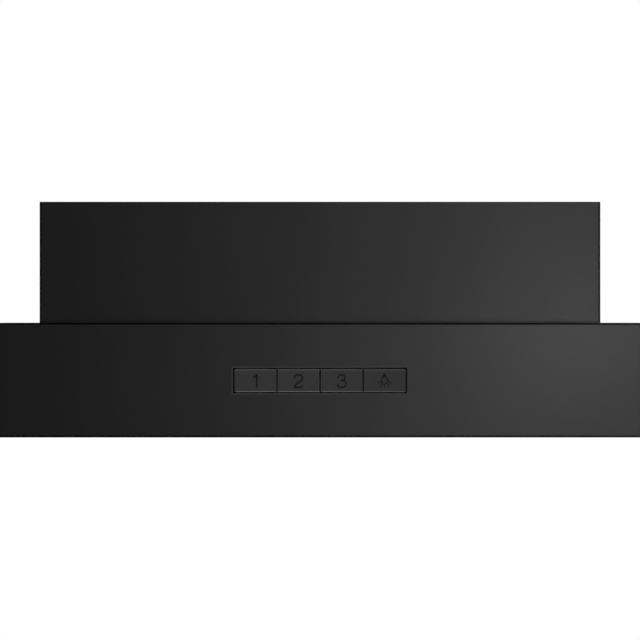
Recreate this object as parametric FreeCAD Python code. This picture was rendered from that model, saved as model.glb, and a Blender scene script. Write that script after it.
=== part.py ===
"""Box-shaped range hood: a wide lower casing with a four-key front, under a narrower upper body.

Millimetres. The origin is the centre of the top plate's four hanging bolts, on its upper face.
+X is to the right and +Z up; the front, with the keys, faces -Y.
"""

import FreeCAD, Part

import math
import os

V = FreeCAD.Vector
X, Y, Z = V(1, 0, 0), V(0, 1, 0), V(0, 0, 1)

# ---------------------------------------------------------------- driving dimensions
CASING_W = 598.0            # lower casing and front panel, side to side
CASING_D = 300.0            # front face of the panel to the back
PANEL_H = 106.5             # front panel, and the whole lower casing
BODY_W = 522.5              # upper body, which slips up between cabinet sides
BODY_H = 112.7
BODY_SETBACK = 22.0         # from the panel's face back to the body's face: a door and its gap

SHEET = 1.0                 # body and casing sheet
PANEL_SHEET = 1.2
PANEL_RETURN = 20.0         # depth of the panel's four bent edges
BEND = 2.5                  # outside radius of the visible bends
FLANGE = 12.0               # bent-in edges of every sheet
RECESS = 14.0               # underside plate above the bottom edge
FIT = 0.2                   # gap between pieces that slip past each other

HANG_INSET_X = 31.25        # hanging bolts in from the body's sides
HANG_INSET_Y = 29.0         # and from its front and back
HANG_HOLE_R = 3.25

SPIGOT_R = 60.0             # bore of the outlet socket, for a 120 mm duct spigot
SPIGOT_DEPTH = 20.0
SOCKET_WALL = 3.0
FLAP_T = 1.0
FLAP_PIN_R = 1.5
FLAP_GAP = 1.0              # flap edge to the socket's lower bore
RUNNING = 0.05              # radial play of a turning part on its pin or shaft

KEY_PITCH = 40.0
KEY_GAP = 0.9
KEY_H = 21.0
KEY_DROP = 0.3              # key strip below the middle of the panel
KEY_PROUD = 0.2
KEY_TRAVEL = 1.5
KEY_CORNER = 1.6
KEY_SLIT = 1.05             # key strip to the edge of the panel's cut-out
KEY_COUNT = 4
KEY_STEM_R = 3.5

FILTER_T = 9.0
FILTER_GAP = 2.0            # round each filter, in its opening
FILTER_RAIL = 10.0
FILTER_MARGIN = 10.0        # plate left beside the filter openings
LATCH_TRAVEL = 6.0
LATCH_W = 36.0

LAMP_R = 25.5
LAMP_X = 180.0
LAMP_FLANGE = 3.5           # ring flange beyond the lamp's neck
LAMP_MARGIN = 3.0           # plate left in front of and behind the ring

SCROLL_WALL = 2.0
SCROLL_UP = 0.455           # share of the scroll's height above its axis
SCROLL_GAP = 9.0            # scroll above the filters
SCROLL_FRONT = 33.0         # body's face to the scroll: room for flange, lugs and a lead
BLADES = 36
BLADE_T = 1.0
WHEEL_GAP = 8.0             # wheel to the scroll's nearest wall and to its sides
SHAFT_R = 4.0
LEAD_R = 2.0

# ---------------------------------------------------------------- derived places
Z_TOP = 0.0
Z_DECK = -BODY_H
Z_BOTTOM = Z_DECK - PANEL_H
Y_BODY = -(CASING_D - BODY_SETBACK) / 2
Y_BACK = -Y_BODY
Y_FACE = Y_BODY - BODY_SETBACK
Y_CASING = Y_FACE + PANEL_RETURN
Z_PLATE = Z_BOTTOM + RECESS         # lower face of the underside plate
Z_LEDGE = Z_PLATE + SHEET           # its upper face
HALF_W = CASING_W / 2
HALF_B = BODY_W / 2

Z_KEYS = Z_BOTTOM + PANEL_H / 2 - KEY_DROP
KEYS_W = KEY_PITCH * KEY_COUNT - KEY_GAP
CUTOUT_W = KEYS_W + 2 * KEY_SLIT
CUTOUT_H = KEY_H + 2 * KEY_SLIT
KEY_X = [KEY_PITCH * (i - (KEY_COUNT - 1) / 2) for i in range(KEY_COUNT)]

PIN_DROP = 5.0                      # flap pin below the spigot's stop
Z_FLAP = -SPIGOT_DEPTH - PIN_DROP
LOWER_BORE_R = SPIGOT_R - SOCKET_WALL
FLAP_R = LOWER_BORE_R - FLAP_GAP
SOCKET_FLANGE = 10.0
SOCKET_FLANGE_T = 3.0
Z_SOCKET = -SPIGOT_DEPTH - 12.0     # underside of the socket's square flange
GASKET_T = 1.5
Z_THROAT = Z_SOCKET - GASKET_T      # top of the blower's throat

THROAT = SPIGOT_R                   # half the square throat
HEIGHT_ROOM = Z_THROAT - (Z_PLATE + FILTER_T + SCROLL_GAP) - 2 * SCROLL_WALL
DEPTH_ROOM = (THROAT - SCROLL_WALL - Y_BODY - SCROLL_FRONT) / (2 * (1 - SCROLL_UP))
SCROLL_H = min(HEIGHT_ROOM, DEPTH_ROOM)
R_UP = SCROLL_UP * SCROLL_H         # axis to scroll wall: up, then growing a quarter turn at a time
R_DOWN = SCROLL_H - R_UP
GROWTH = (R_DOWN - R_UP) / 2
R_FRONT = R_UP + GROWTH
R_REAR = R_DOWN + GROWTH
AXIS_Y = THROAT - R_REAR
AXIS_Z = Z_THROAT - SCROLL_WALL - R_UP
WHEEL_R = R_UP - WHEEL_GAP
WHEEL_IN_R = 0.8 * WHEEL_R
WHEEL_HALF = THROAT - WHEEL_GAP
INLET_R = WHEEL_IN_R - 1.0
MOTOR_R = 0.5 * WHEEL_R
BUSH_H = 4.0
X_SPIDER = THROAT + SCROLL_WALL + BUSH_H
SPIDER_T = 3.0

LAMP_FLANGE_R = LAMP_R + LAMP_FLANGE
LAMP_Y = Y_CASING + FIT + FLANGE + LAMP_MARGIN + LAMP_FLANGE_R
OPEN_Y0 = LAMP_Y + LAMP_FLANGE_R + LAMP_MARGIN
OPEN_Y1 = Y_BACK - FLANGE - FILTER_MARGIN
OPEN_X0 = FILTER_MARGIN / 2
OPEN_X1 = HALF_W - FLANGE - FILTER_MARGIN
FILTER_X = (OPEN_X0 + OPEN_X1) / 2
FILTER_HALF = (OPEN_X1 - OPEN_X0) / 2 - FILTER_GAP
FILTER_Y0 = OPEN_Y0 + FILTER_GAP
FILTER_Y1 = OPEN_Y1 - FILTER_GAP


# ---------------------------------------------------------------- helpers
def box(x0, x1, y0, y1, z0, z1):
    """A block between two corners."""
    return Part.makeBox(x1 - x0, y1 - y0, z1 - z0, V(x0, y0, z0))


def rod(start, axis, length, radius):
    """A solid cylinder from a point along an axis."""
    return Part.makeCylinder(radius, length, start, axis)


def tube(start, axis, length, outer, inner):
    """A hollow cylinder."""
    return rod(start, axis, length, outer).cut(rod(start, axis, length, inner))


def fuse(shapes):
    """One solid from many that meet."""
    whole = shapes[0].multiFuse(shapes[1:]) if len(shapes) > 1 else shapes[0]
    return whole.removeSplitter()


def group(shapes):
    """Several separate solids kept in one node."""
    return Part.makeCompound(shapes)


def round_edges(shape, radius, wanted):
    """Fillets the edges whose bounding box the test accepts."""
    edges = [e for e in shape.Edges if wanted(e.BoundBox)]
    return shape.makeFillet(radius, edges) if edges and radius > 0 else shape


def runs_along(bounds, axis):
    """True where an edge is a straight one along X, Y or Z."""
    sizes = {"x": bounds.XLength, "y": bounds.YLength, "z": bounds.ZLength}
    return sizes[axis] > 1e-3 and all(s < 1e-3 for k, s in sizes.items() if k != axis)


def rounded_bar(half_x, half_z, y0, y1, radius, z_mid):
    """A bar along Y with a rounded rectangular section, centred on x = 0."""
    bar = box(-half_x, half_x, y0, y1, z_mid - half_z, z_mid + half_z)
    return round_edges(bar, radius, lambda b: runs_along(b, "y"))


def rounded_plate(x0, x1, y0, y1, z0, z1, radius):
    """A block whose upright corners are rounded."""
    return round_edges(box(x0, x1, y0, y1, z0, z1), radius, lambda b: runs_along(b, "z"))


def mirror_x(shape):
    """The same piece on the other side."""
    return shape.mirror(V(0, 0, 0), X)


def lead(points, radius):
    """A cable held along a route: straight runs joined by the largest tangent arcs that fit."""
    edges, start, radii = [], points[0], []
    for before, corner, after in zip(points, points[1:], points[2:]):
        into, out = (corner - before).normalize(), (after - corner).normalize()
        turn = into.getAngle(out)
        shorter = min((corner - before).Length, (after - corner).Length)
        trim = 0.45 * shorter
        bend = trim / math.tan(turn / 2)
        radii.append(round(bend, 1))
        first, last = corner - into * trim, corner + out * trim
        towards = (out - into).normalize()
        centre = corner + towards * (bend / math.cos(turn / 2))
        middle = centre - towards * bend
        edges.append(Part.LineSegment(start, first).toShape())
        edges.append(Part.Arc(first, middle, last).toShape())
        start = last
    edges.append(Part.LineSegment(start, points[-1]).toShape())
    path = Part.Wire(edges)
    section = Part.Wire([Part.Circle(points[0], points[1] - points[0], radius).toShape()])
    swept = path.makePipeShell([section], True, True)
    expected = math.pi * radius**2 * path.Length
    print("lead: bend radii", radii, "volume over section x length", round(swept.Volume / expected, 4))
    return swept


def countersunk(head, inward, length, radius=1.5, head_r=3.0, head_h=1.5):
    """A flush screw: its head's face is at the given point and its shank goes inwards."""
    cone = Part.makeCone(head_r, radius, head_h, head, inward)
    return fuse([cone, rod(head + inward * head_h, inward, length - head_h, radius)])


def pan_head(seat, inward, length, radius=1.5, head_r=3.2, head_h=2.0):
    """A pan-head screw whose head stands on the given seat."""
    head = rod(seat, inward * -1, head_h, head_r)
    head = round_edges(head, 0.8, lambda b: abs((b.Center - seat).dot(inward) + head_h) < 0.01)
    slot = Part.makeBox(0.8, 0.8, 0.8)
    slot.translate(seat - inward * (head_h - 0.2) - V(0.4, 0.4, 0.4))
    return fuse([head, rod(seat, inward, length, radius)]).cut(slot)


NODES = {}


def node(name, shape):
    """Files a finished piece under its name."""
    NODES[name] = shape


def drill(names, tools):
    """Cuts the same holes through several finished pieces."""
    for name in names:
        NODES[name] = NODES[name].cut(group(tools))


# ---------------------------------------------------------------- upper body
def body_wrap():
    """Front and both sides bent from one sheet, with a foot flange on the casing deck."""
    outer = box(-HALF_B, HALF_B, Y_BODY, Y_BACK, Z_DECK, Z_TOP)
    outer = round_edges(outer, BEND, lambda b: runs_along(b, "z") and b.YMin < Y_BODY + 1)
    inner = box(-HALF_B + SHEET, HALF_B - SHEET, Y_BODY + SHEET, Y_BACK + 1, Z_DECK + SHEET, Z_TOP + 1)
    inner = round_edges(inner, BEND - SHEET, lambda b: runs_along(b, "z") and b.YMin < Y_BACK)
    inside = HALF_B - FLANGE
    way = box(-inside, inside, Y_BODY + FLANGE, Y_BACK + 1, Z_DECK - 1, Z_TOP)
    return outer.cut(inner).cut(way)


def body_back():
    """Back sheet with side and foot flanges inside the wrap."""
    edge = HALF_B - SHEET - FIT
    outer = box(-edge, edge, Y_BACK - FLANGE, Y_BACK, Z_DECK + SHEET, Z_TOP)
    inner = box(-edge + SHEET, edge - SHEET, Y_BACK - FLANGE - 1, Y_BACK - SHEET,
                Z_DECK + 2 * SHEET, Z_TOP + 1)
    return outer.cut(inner)


def top_plate():
    """Top sheet, flush with the wrap's cut edge, with turned-down edges."""
    edge = HALF_B - SHEET - FIT
    back = Y_BACK - SHEET - FIT
    front = Y_BODY + SHEET + FIT
    outer = box(-edge + SHEET, edge - SHEET, front, back, -FLANGE, Z_TOP)
    inner = box(-edge + 2 * SHEET, edge - 2 * SHEET, front + SHEET, back - SHEET, -FLANGE - 1, -SHEET)
    outlet = rod(V(0, 0, -FLANGE), Z, 2 * FLANGE, SPIGOT_R + SOCKET_WALL + FIT)
    return outer.cut(inner).cut(outlet)


def hang_points():
    """The four hanging bolt places."""
    x, y = HALF_B - HANG_INSET_X, Y_BACK - HANG_INSET_Y
    return [V(sx * x, sy * y, 0) for sx in (-1, 1) for sy in (-1, 1)]


def hanger_brackets():
    """Four stiffening plates under the top plate, one round each hanging bolt."""
    size, thick = 13.0, 2.5
    wall_y = Y_BACK - 2 * SHEET - FIT
    brackets = []
    for p in hang_points():
        pad = box(p.x - size, p.x + size, p.y - size, p.y + size, -SHEET - thick, -SHEET)
        side = 1 if p.y > 0 else -1
        near, far = sorted((p.y + side * size, side * (wall_y - SHEET)))
        reach = box(p.x - size, p.x + size, min(near, far), max(near, far), -SHEET - thick, -SHEET)
        brackets.append(fuse([pad, reach]) if far - near > 0.5 else pad)
    return group(brackets)


def outlet_socket():
    """Moulded socket: spigot bore above, flap seat below, square flange on the blower."""
    edge = SPIGOT_R + SOCKET_FLANGE
    flange = rounded_plate(-edge, edge, -edge, edge, Z_SOCKET, Z_SOCKET + SOCKET_FLANGE_T, 6.0)
    barrel = rod(V(0, 0, Z_SOCKET), Z, -Z_SOCKET, SPIGOT_R + SOCKET_WALL)
    collar = rod(V(0, 0, -SHEET - SOCKET_FLANGE_T), Z, SOCKET_FLANGE_T, SPIGOT_R + SOCKET_FLANGE + 2)
    seat_r = LOWER_BORE_R - 3.5
    whole = fuse([flange, barrel, collar])
    whole = whole.cut(rod(V(0, 0, -SPIGOT_DEPTH), Z, SPIGOT_DEPTH + 1, SPIGOT_R))
    seat_top = Z_FLAP - FLAP_T / 2 - 0.7
    whole = whole.cut(rod(V(0, 0, seat_top), Z, -seat_top, LOWER_BORE_R))
    whole = whole.cut(rod(V(0, 0, Z_SOCKET - 1), Z, 20, seat_r))
    return whole.cut(flap_pin())


def flap_pin():
    """One pin across the socket carries both flaps."""
    reach = SPIGOT_R + SOCKET_WALL - 1.0
    return rod(V(-reach, 0, Z_FLAP), X, 2 * reach, FLAP_PIN_R)


def flap(side, near, far):
    """Half-disc non-return flap; side is -1 for the front one, and its knuckles span near to far."""
    knuckle_r = FLAP_PIN_R + 1.3
    root = knuckle_r + 1.0
    rib_start = 14.0
    y0, y1 = sorted((side * root, side * (FLAP_R + 1)))
    disc = rod(V(0, 0, Z_FLAP - FLAP_T / 2), Z, FLAP_T, FLAP_R)
    pieces = [disc.common(box(-FLAP_R, FLAP_R, y0, y1, Z_FLAP - 1, Z_FLAP + 1))]
    for x0 in (-far, near):
        y0, y1 = sorted((0.0, side * (root + 1)))
        pieces.append(rod(V(x0, 0, Z_FLAP), X, far - near, knuckle_r))
        pieces.append(box(x0, x0 + far - near, y0, y1, Z_FLAP - FLAP_T / 2, Z_FLAP + FLAP_T / 2))
    for x in (-0.45, 0.0, 0.45):
        y0, y1 = sorted((side * rib_start, side * 0.8 * FLAP_R))
        mid = x * FLAP_R
        pieces.append(box(mid - 0.6, mid + 0.6, y0, y1, Z_FLAP + FLAP_T / 2, Z_FLAP + FLAP_T / 2 + 1.2))
    bore = rod(V(-FLAP_R, 0, Z_FLAP), X, 2 * FLAP_R, FLAP_PIN_R + RUNNING)
    return fuse(pieces).cut(bore)


GLAND_X, GLAND_Z, GLAND_R, GLAND_BORE_R = -200.0, -32.0, 7.0, 4.0


def cable_gland():
    """Moulded gland that snaps into the back sheet; its bore takes the supply lead."""
    place = V(GLAND_X, Y_BACK - SHEET - 7, GLAND_Z)
    outside = rod(V(GLAND_X, Y_BACK, GLAND_Z), Y, 2.0, GLAND_R + 3)
    outside = round_edges(outside, 1.0, lambda b: b.YMin > Y_BACK + 1.9)
    neck = rod(place, Y, 7 + SHEET, GLAND_R)
    nut = Part.makeCylinder(GLAND_R + 2.5, 3.0, V(GLAND_X, Y_BACK - SHEET - 3, GLAND_Z), Y)
    return fuse([outside, neck, nut]).cut(rod(place - Y, Y, 20, GLAND_BORE_R))


def build_body():
    node("body_wrap", body_wrap())
    node("body_back", body_back())
    node("top_plate", top_plate())
    node("hanger_brackets", hanger_brackets())
    node("outlet_socket", outlet_socket())
    node("flap_pin", flap_pin())
    node("flap_front", flap(-1, 34, 48))
    node("flap_rear", flap(1, 18, 32))
    node("cable_gland", cable_gland())
    drill(["body_back"], [rod(V(GLAND_X, Y_BACK - 5, GLAND_Z), Y, 10, GLAND_R)])
    holes = [rod(p - Z * 10, Z, 20, HANG_HOLE_R) for p in hang_points()]
    drill(["top_plate", "hanger_brackets"], holes)


# ---------------------------------------------------------------- lower casing
def box_lip(x0, x1, y0, y1, side):
    """The bent lip behind a bottom flange: an upright and a ledge for the underside plate.
    side is the direction, as a vector, from the recess towards the outer wall."""
    z0, z1 = Z_BOTTOM, Z_PLATE
    upright = box(x0, x1, y0, y1, z0, z1)
    ledge = 8.0
    grow = {"x0": min(0, side.x), "x1": max(0, side.x), "y0": min(0, side.y), "y1": max(0, side.y)}
    shelf = box(x0 + ledge * grow["x0"], x1 + ledge * grow["x1"],
                y0 + ledge * grow["y0"], y1 + ledge * grow["y1"], z1 - SHEET, z1)
    return fuse([upright, shelf])


def side_skirt():
    """Right side of the casing: a shallow pan with a boxed lower edge."""
    x0, x1 = HALF_W - FLANGE, HALF_W
    y0, y1 = Y_CASING + FIT, Y_BACK
    z0, z1 = Z_BOTTOM, Z_DECK - SHEET
    outer = box(x0, x1, y0, y1, z0, z1)
    outer = round_edges(outer, BEND, lambda b: runs_along(b, "y") and b.XMin > x0 + 1 and b.ZMax < z0 + 1)
    inner = box(x0 - 1, x1 - SHEET, y0 + SHEET, y1 - SHEET, z0 + SHEET, z1 - SHEET)
    lip = box_lip(x0, x0 + SHEET, y0, y1, X)
    return fuse([outer.cut(inner), lip.common(box(x0, x1 - SHEET, y0, y1, z0, z1))])


def casing_rail(y_wall, facing):
    """Front or rear wall of the casing, between the skirts; facing is the way its flanges point."""
    half = HALF_W - FLANGE - FIT
    z0, z1 = Z_BOTTOM, Z_DECK - SHEET
    y0, y1 = sorted((y_wall, y_wall + facing * FLANGE))
    outer = box(-half, half, y0, y1, z0, z1)
    cut0, cut1 = sorted((y_wall + facing * SHEET, y_wall + facing * (FLANGE + 1)))
    inner = box(-half - 1, half + 1, cut0, cut1, z0 + SHEET, z1 - SHEET)
    lip_y = y_wall + facing * FLANGE
    l0, l1 = sorted((lip_y, lip_y - facing * SHEET))
    return fuse([outer.cut(inner), box_lip(-half, half, l0, l1, Y * -facing)])


def casing_deck():
    """Shoulder plate on the casing, open under the body."""
    inside = HALF_B - FLANGE
    plate = box(-HALF_W, HALF_W, Y_CASING + FIT, Y_BACK, Z_DECK - SHEET, Z_DECK)
    return plate.cut(box(-inside, inside, Y_BODY + FLANGE, Y_BACK - FLANGE, Z_DECK - 5, Z_DECK + 5))


def front_panel():
    """Visible front: a pan with four bent edges and a rounded cut-out for the keys."""
    outer = box(-HALF_W, HALF_W, Y_FACE, Y_CASING, Z_BOTTOM, Z_DECK)
    outer = round_edges(outer, BEND, lambda b: b.YMax < Y_FACE + 1)
    t = PANEL_SHEET
    inner = box(-HALF_W + t, HALF_W - t, Y_FACE + t, Y_CASING + 5, Z_BOTTOM + t, Z_DECK - t)
    inner = round_edges(inner, BEND - t, lambda b: b.YMax < Y_FACE + t + 1)
    cutout = rounded_bar(CUTOUT_W / 2, CUTOUT_H / 2, Y_FACE - 1, Y_FACE + 5,
                         KEY_CORNER + KEY_SLIT, Z_KEYS)
    return outer.cut(inner).cut(cutout)


def underside_plate():
    """Recessed plate with two filter openings and two lamp holes."""
    edge = HALF_W - SHEET - FIT
    plate = box(-edge, edge, Y_CASING + SHEET + 2 * FIT, Y_BACK - SHEET - FIT, Z_PLATE, Z_LEDGE)
    tools = []
    for side in (-1, 1):
        x0, x1 = sorted((side * OPEN_X0, side * OPEN_X1))
        tools.append(rounded_plate(x0, x1, OPEN_Y0, OPEN_Y1, Z_PLATE - 1, Z_LEDGE + 1, 3.0))
        tools.append(rod(V(side * LAMP_X, LAMP_Y, Z_PLATE - 1), Z, 5, LAMP_R + FIT))
    return plate.cut(group(tools))


LEAD_HOLE = V(-KEYS_W / 2 + 5, Y_CASING, Z_KEYS)
BRACKET_W, BRACKET_H, BRACKET_T = 24.0, 30.0, 2.0


def bracket_places():
    """Panel brackets: x, the return they stand on, and the way they point from it."""
    rows = ((Z_DECK - PANEL_SHEET, -1), (Z_BOTTOM + PANEL_SHEET, 1))
    return [(x, z, way) for x in (-0.35 * CASING_W, 0.35 * CASING_W) for z, way in rows]


def panel_brackets():
    """Four angles on the panel's top and bottom returns, screwed to the front rail."""
    angles = []
    for x, z, way in bracket_places():
        x0, x1, wall = x - BRACKET_W / 2, x + BRACKET_W / 2, Y_CASING + FIT
        z0, z1 = sorted((z, z + way * BRACKET_H))
        f0, f1 = sorted((z, z + way * BRACKET_T))
        upright = box(x0, x1, wall - BRACKET_T, wall, z0, z1)
        foot = box(x0, x1, wall - PANEL_RETURN * 0.6, wall, f0, f1)
        angles.append(fuse([upright, foot]))
    return group(angles)


def build_casing():
    skirt = side_skirt()
    node("side_skirt_right", skirt)
    node("side_skirt_left", mirror_x(skirt))
    node("front_rail", casing_rail(Y_CASING + FIT, 1))
    node("rear_rail", casing_rail(Y_BACK, -1))
    node("casing_deck", casing_deck())
    node("front_panel", front_panel())
    node("underside_plate", underside_plate())
    node("panel_brackets", panel_brackets())
    drill(["front_rail"], [rod(LEAD_HOLE - Y * 5, Y, 10, LEAD_R + 1.5)])


# ---------------------------------------------------------------- keys and their board
KEY_LIP_H = CUTOUT_H + 1.6
BEZEL_WALL = 0.6
Y_BEZEL_BACK = Y_FACE + 2 * PANEL_SHEET
KEY_LIP_T = 1.2
Y_KEY_LIP = Y_BEZEL_BACK + FIT
Y_CARRIER = Y_KEY_LIP + KEY_LIP_T + KEY_TRAVEL + 0.6
CARRIER_WALL = 2.0
Y_STEM_END = Y_CARRIER + CARRIER_WALL + 1.2
TACT_H, TACT_BUTTON_H = 3.5, 1.0
Y_BOARD = Y_STEM_END + KEY_TRAVEL + 0.1 + TACT_BUTTON_H + TACT_H
BOARD_T = 1.6
CARRIER_HALF = KEYS_W / 2 + 5.0
CARRIER_HALF_H = KEY_LIP_H / 2 + 2.6


def key_bezel():
    """Thin moulded frame: a flange behind the panel and a collar just inside the cut-out."""
    flange = rounded_bar(CUTOUT_W / 2 + 5, CUTOUT_H / 2 + 4, Y_FACE + PANEL_SHEET, Y_BEZEL_BACK, 3.0, Z_KEYS)
    slack = 0.1
    collar = rounded_bar(CUTOUT_W / 2 - slack, CUTOUT_H / 2 - slack, Y_FACE + 0.3,
                         Y_FACE + PANEL_SHEET + 0.2, KEY_CORNER + KEY_SLIT - slack, Z_KEYS)
    shrink = slack + BEZEL_WALL
    hole = rounded_bar(CUTOUT_W / 2 - shrink, CUTOUT_H / 2 - shrink, Y_FACE - 1, Y_FACE + 9,
                       KEY_CORNER + KEY_SLIT - shrink, Z_KEYS)
    return fuse([flange, collar]).cut(hole)


def key_cap(x):
    """One key: softly edged cap, a hidden stop lip above and below, and a round stem."""
    half = (KEY_PITCH - KEY_GAP) / 2
    front = Y_FACE - KEY_PROUD
    strip = rounded_bar(KEYS_W / 2, KEY_H / 2, front, Y_KEY_LIP + 0.1, KEY_CORNER, Z_KEYS)
    cap = strip.common(box(x - half, x + half, front - 1, Y_CARRIER, Z_KEYS - 50, Z_KEYS + 50))
    cap = round_edges(cap, 0.45, lambda b: b.YMax < front + 0.01)
    lip = box(x - half, x + half, Y_KEY_LIP, Y_KEY_LIP + KEY_LIP_T,
              Z_KEYS - KEY_LIP_H / 2, Z_KEYS + KEY_LIP_H / 2)
    stem = rod(V(x, Y_KEY_LIP + KEY_LIP_T / 2, Z_KEYS), Y, Y_STEM_END - Y_KEY_LIP - KEY_LIP_T / 2, KEY_STEM_R)
    return fuse([cap, lip, stem])


def board_posts():
    """Where the carrier's posts meet the board."""
    return [V(sx * (CARRIER_HALF - 5), 0, Z_KEYS + sz * (CARRIER_HALF_H - 5)) for sx in (-1, 1) for sz in (-1, 1)]


def key_carrier():
    """Moulded tray behind the keys, with a guide hole for each stem and posts for the board."""
    outer = box(-CARRIER_HALF, CARRIER_HALF, Y_BEZEL_BACK, Y_BOARD + BOARD_T + 0.6,
                Z_KEYS - CARRIER_HALF_H, Z_KEYS + CARRIER_HALF_H)
    front = box(-CARRIER_HALF + 1.6, CARRIER_HALF - 1.6, Y_BEZEL_BACK - 1, Y_CARRIER,
                Z_KEYS - KEY_LIP_H / 2 - 0.6, Z_KEYS + KEY_LIP_H / 2 + 0.6)
    rear = box(-CARRIER_HALF + 1.6, CARRIER_HALF - 1.6, Y_CARRIER + CARRIER_WALL, Y_BOARD + 9,
               Z_KEYS - CARRIER_HALF_H + 1.6, Z_KEYS + CARRIER_HALF_H - 1.6)
    shell = outer.cut(front).cut(rear)
    shell = shell.cut(group([rod(V(x, Y_CARRIER - 1, Z_KEYS), Y, 9, KEY_STEM_R + 0.15) for x in KEY_X]))
    y0 = Y_CARRIER + CARRIER_WALL / 2
    posts = [rod(V(p.x, y0, p.z), Y, Y_BOARD - y0, 2.5) for p in board_posts()]
    return fuse([shell] + posts)


def tact_switches():
    """One tactile switch on the board behind each stem."""
    parts = []
    for x in KEY_X:
        body = box(x - 3, x + 3, Y_BOARD - TACT_H, Y_BOARD, Z_KEYS - 3, Z_KEYS + 3)
        button = rod(V(x, Y_BOARD - TACT_H - TACT_BUTTON_H, Z_KEYS), Y, TACT_BUTTON_H + 0.5, 1.75)
        parts.append(fuse([body, button]))
    return group(parts)


def build_keys():
    node("key_bezel", key_bezel())
    for name, x in zip(("key_speed_1", "key_speed_2", "key_speed_3", "key_light"), KEY_X):
        node(name, key_cap(x))
    node("key_carrier", key_carrier())
    edge, half_h = CARRIER_HALF - 1.8, CARRIER_HALF_H - 1.8
    node("control_board", box(-edge, edge, Y_BOARD, Y_BOARD + BOARD_T, Z_KEYS - half_h, Z_KEYS + half_h))
    node("tact_switches", tact_switches())


# ---------------------------------------------------------------- blower
def scroll_outline(grow, top):
    """Face of the scroll in the plane x = 0: three growing quarter arcs and a straight throat."""
    h = GROWTH / 2
    right, left = THROAT + grow, -THROAT - grow
    places = [(h, h, R_REAR - h), (h, -h, R_DOWN - h), (-h, -h, R_FRONT - h)]
    centres = [(V(0, AXIS_Y + cy, AXIS_Z + cz), r + grow) for cy, cz, r in places]

    def on(index, angle):
        centre, radius = centres[index]
        return centre + V(0, math.cos(angle), math.sin(angle)) * radius

    last, radius = centres[2]
    tongue = math.acos((left - last.y) / radius)
    start, down, front = on(0, 0), on(0, -math.pi / 2), on(1, -math.pi)
    tip = on(2, tongue)
    edges = [
        Part.LineSegment(V(0, right, top), start).toShape(),
        Part.Arc(start, on(0, -math.pi / 4), down).toShape(),
        Part.Arc(down, on(1, -3 * math.pi / 4), front).toShape(),
        Part.Arc(front, on(2, (tongue + math.pi) / 2), tip).toShape(),
        Part.LineSegment(tip, V(0, left, top)).toShape(),
        Part.LineSegment(V(0, left, top), V(0, right, top)).toShape(),
    ]
    return Part.Face(Part.Wire(edges))


LUG_ANGLES = [math.radians(a) for a in (-35, -90, -145, 168)]
LUG_R, LUG_T = 5.0, 5.0


def lug_places():
    """Screw lugs round the scroll's joint."""
    radii = (R_REAR, R_DOWN, R_FRONT + 2, R_FRONT)
    reach = [r + SCROLL_WALL + LUG_R * 0.5 for r in radii]
    return [V(0, AXIS_Y + r * math.cos(a), AXIS_Z + r * math.sin(a)) for a, r in zip(LUG_ANGLES, reach)]


def throat_screws():
    """Screw places at the corners of the throat flange."""
    c = THROAT + SOCKET_FLANGE / 2
    return [V(sx * c, sy * c, 0) for sx in (-1, 1) for sy in (-1, 1)]


def scroll_half():
    """Right half of the blower housing, with its inlet ring, joint lugs and throat flange."""
    width = THROAT + SCROLL_WALL
    outer = scroll_outline(SCROLL_WALL, Z_THROAT).extrude(X * width)
    inner = scroll_outline(0, Z_THROAT + 1).extrude(X * (THROAT + 1))
    inner.translate(X * -1)
    edge = THROAT + SOCKET_FLANGE
    flange = box(0, edge, -edge, edge, Z_THROAT - 3, Z_THROAT)
    flange = flange.cut(box(-1, THROAT, -THROAT, THROAT, Z_THROAT - 9, Z_THROAT + 9))
    axis = V(0, AXIS_Y, AXIS_Z)
    ring = rod(axis + X * (WHEEL_HALF + 3), X, width - WHEEL_HALF - 3, INLET_R + 2)
    lugs = [rod(p, X, LUG_T, LUG_R).cut(inner) for p in lug_places()]
    whole = fuse([outer.cut(inner), flange, ring] + lugs)
    return whole.cut(rod(axis, X, width + 5, INLET_R))


def inlet_guard():
    """Finger guard over the left inlet: rings and spokes."""
    x0, thick = -THROAT - SCROLL_WALL - 3, 3.0
    centre = V(x0, AXIS_Y, AXIS_Z)
    outer = INLET_R + 6
    steps = 5
    rings = [tube(centre, X, thick, outer - k * (outer - 8) / steps, outer - k * (outer - 8) / steps - 2)
             for k in range(steps)]
    spokes = []
    for k in range(6):
        bar = box(x0, x0 + thick, AXIS_Y + 4, AXIS_Y + outer - 1, AXIS_Z - 1.2, AXIS_Z + 1.2)
        bar.rotate(centre, X, 60 * k)
        spokes.append(bar)
    return fuse(rings + spokes + [rod(centre, X, thick, 8)])


def spider_arm_ends():
    """Where the motor's carrier stands on its bushes, on the right wall of the scroll."""
    reach = INLET_R + 9
    return [V(THROAT + SCROLL_WALL, AXIS_Y + reach * math.cos(a), AXIS_Z + reach * math.sin(a))
            for a in (math.radians(d) for d in (75, 195, 315))]


def motor_spider():
    """Three-armed sheet carrier that holds the motor in the right inlet."""
    centre = V(X_SPIDER, AXIS_Y, AXIS_Z)
    pieces = [rod(centre, X, SPIDER_T, MOTOR_R - 4)]
    for end in spider_arm_ends():
        offset = V(0, end.y - AXIS_Y, end.z - AXIS_Z)
        arm = box(X_SPIDER, X_SPIDER + SPIDER_T, 0, offset.Length, -6, 6)
        arm.rotate(V(0, 0, 0), X, math.degrees(math.atan2(offset.z, offset.y)))
        arm.translate(V(0, AXIS_Y, AXIS_Z))
        pieces += [arm, rod(V(X_SPIDER, end.y, end.z), X, SPIDER_T, 8)]
    hub_hole = rod(centre - X, X, 9, 11)
    holes = [rod(V(X_SPIDER - 1, e.y, e.z), X, 9, 2.0) for e in spider_arm_ends()]
    return fuse(pieces).cut(group([hub_hole] + holes))


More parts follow.
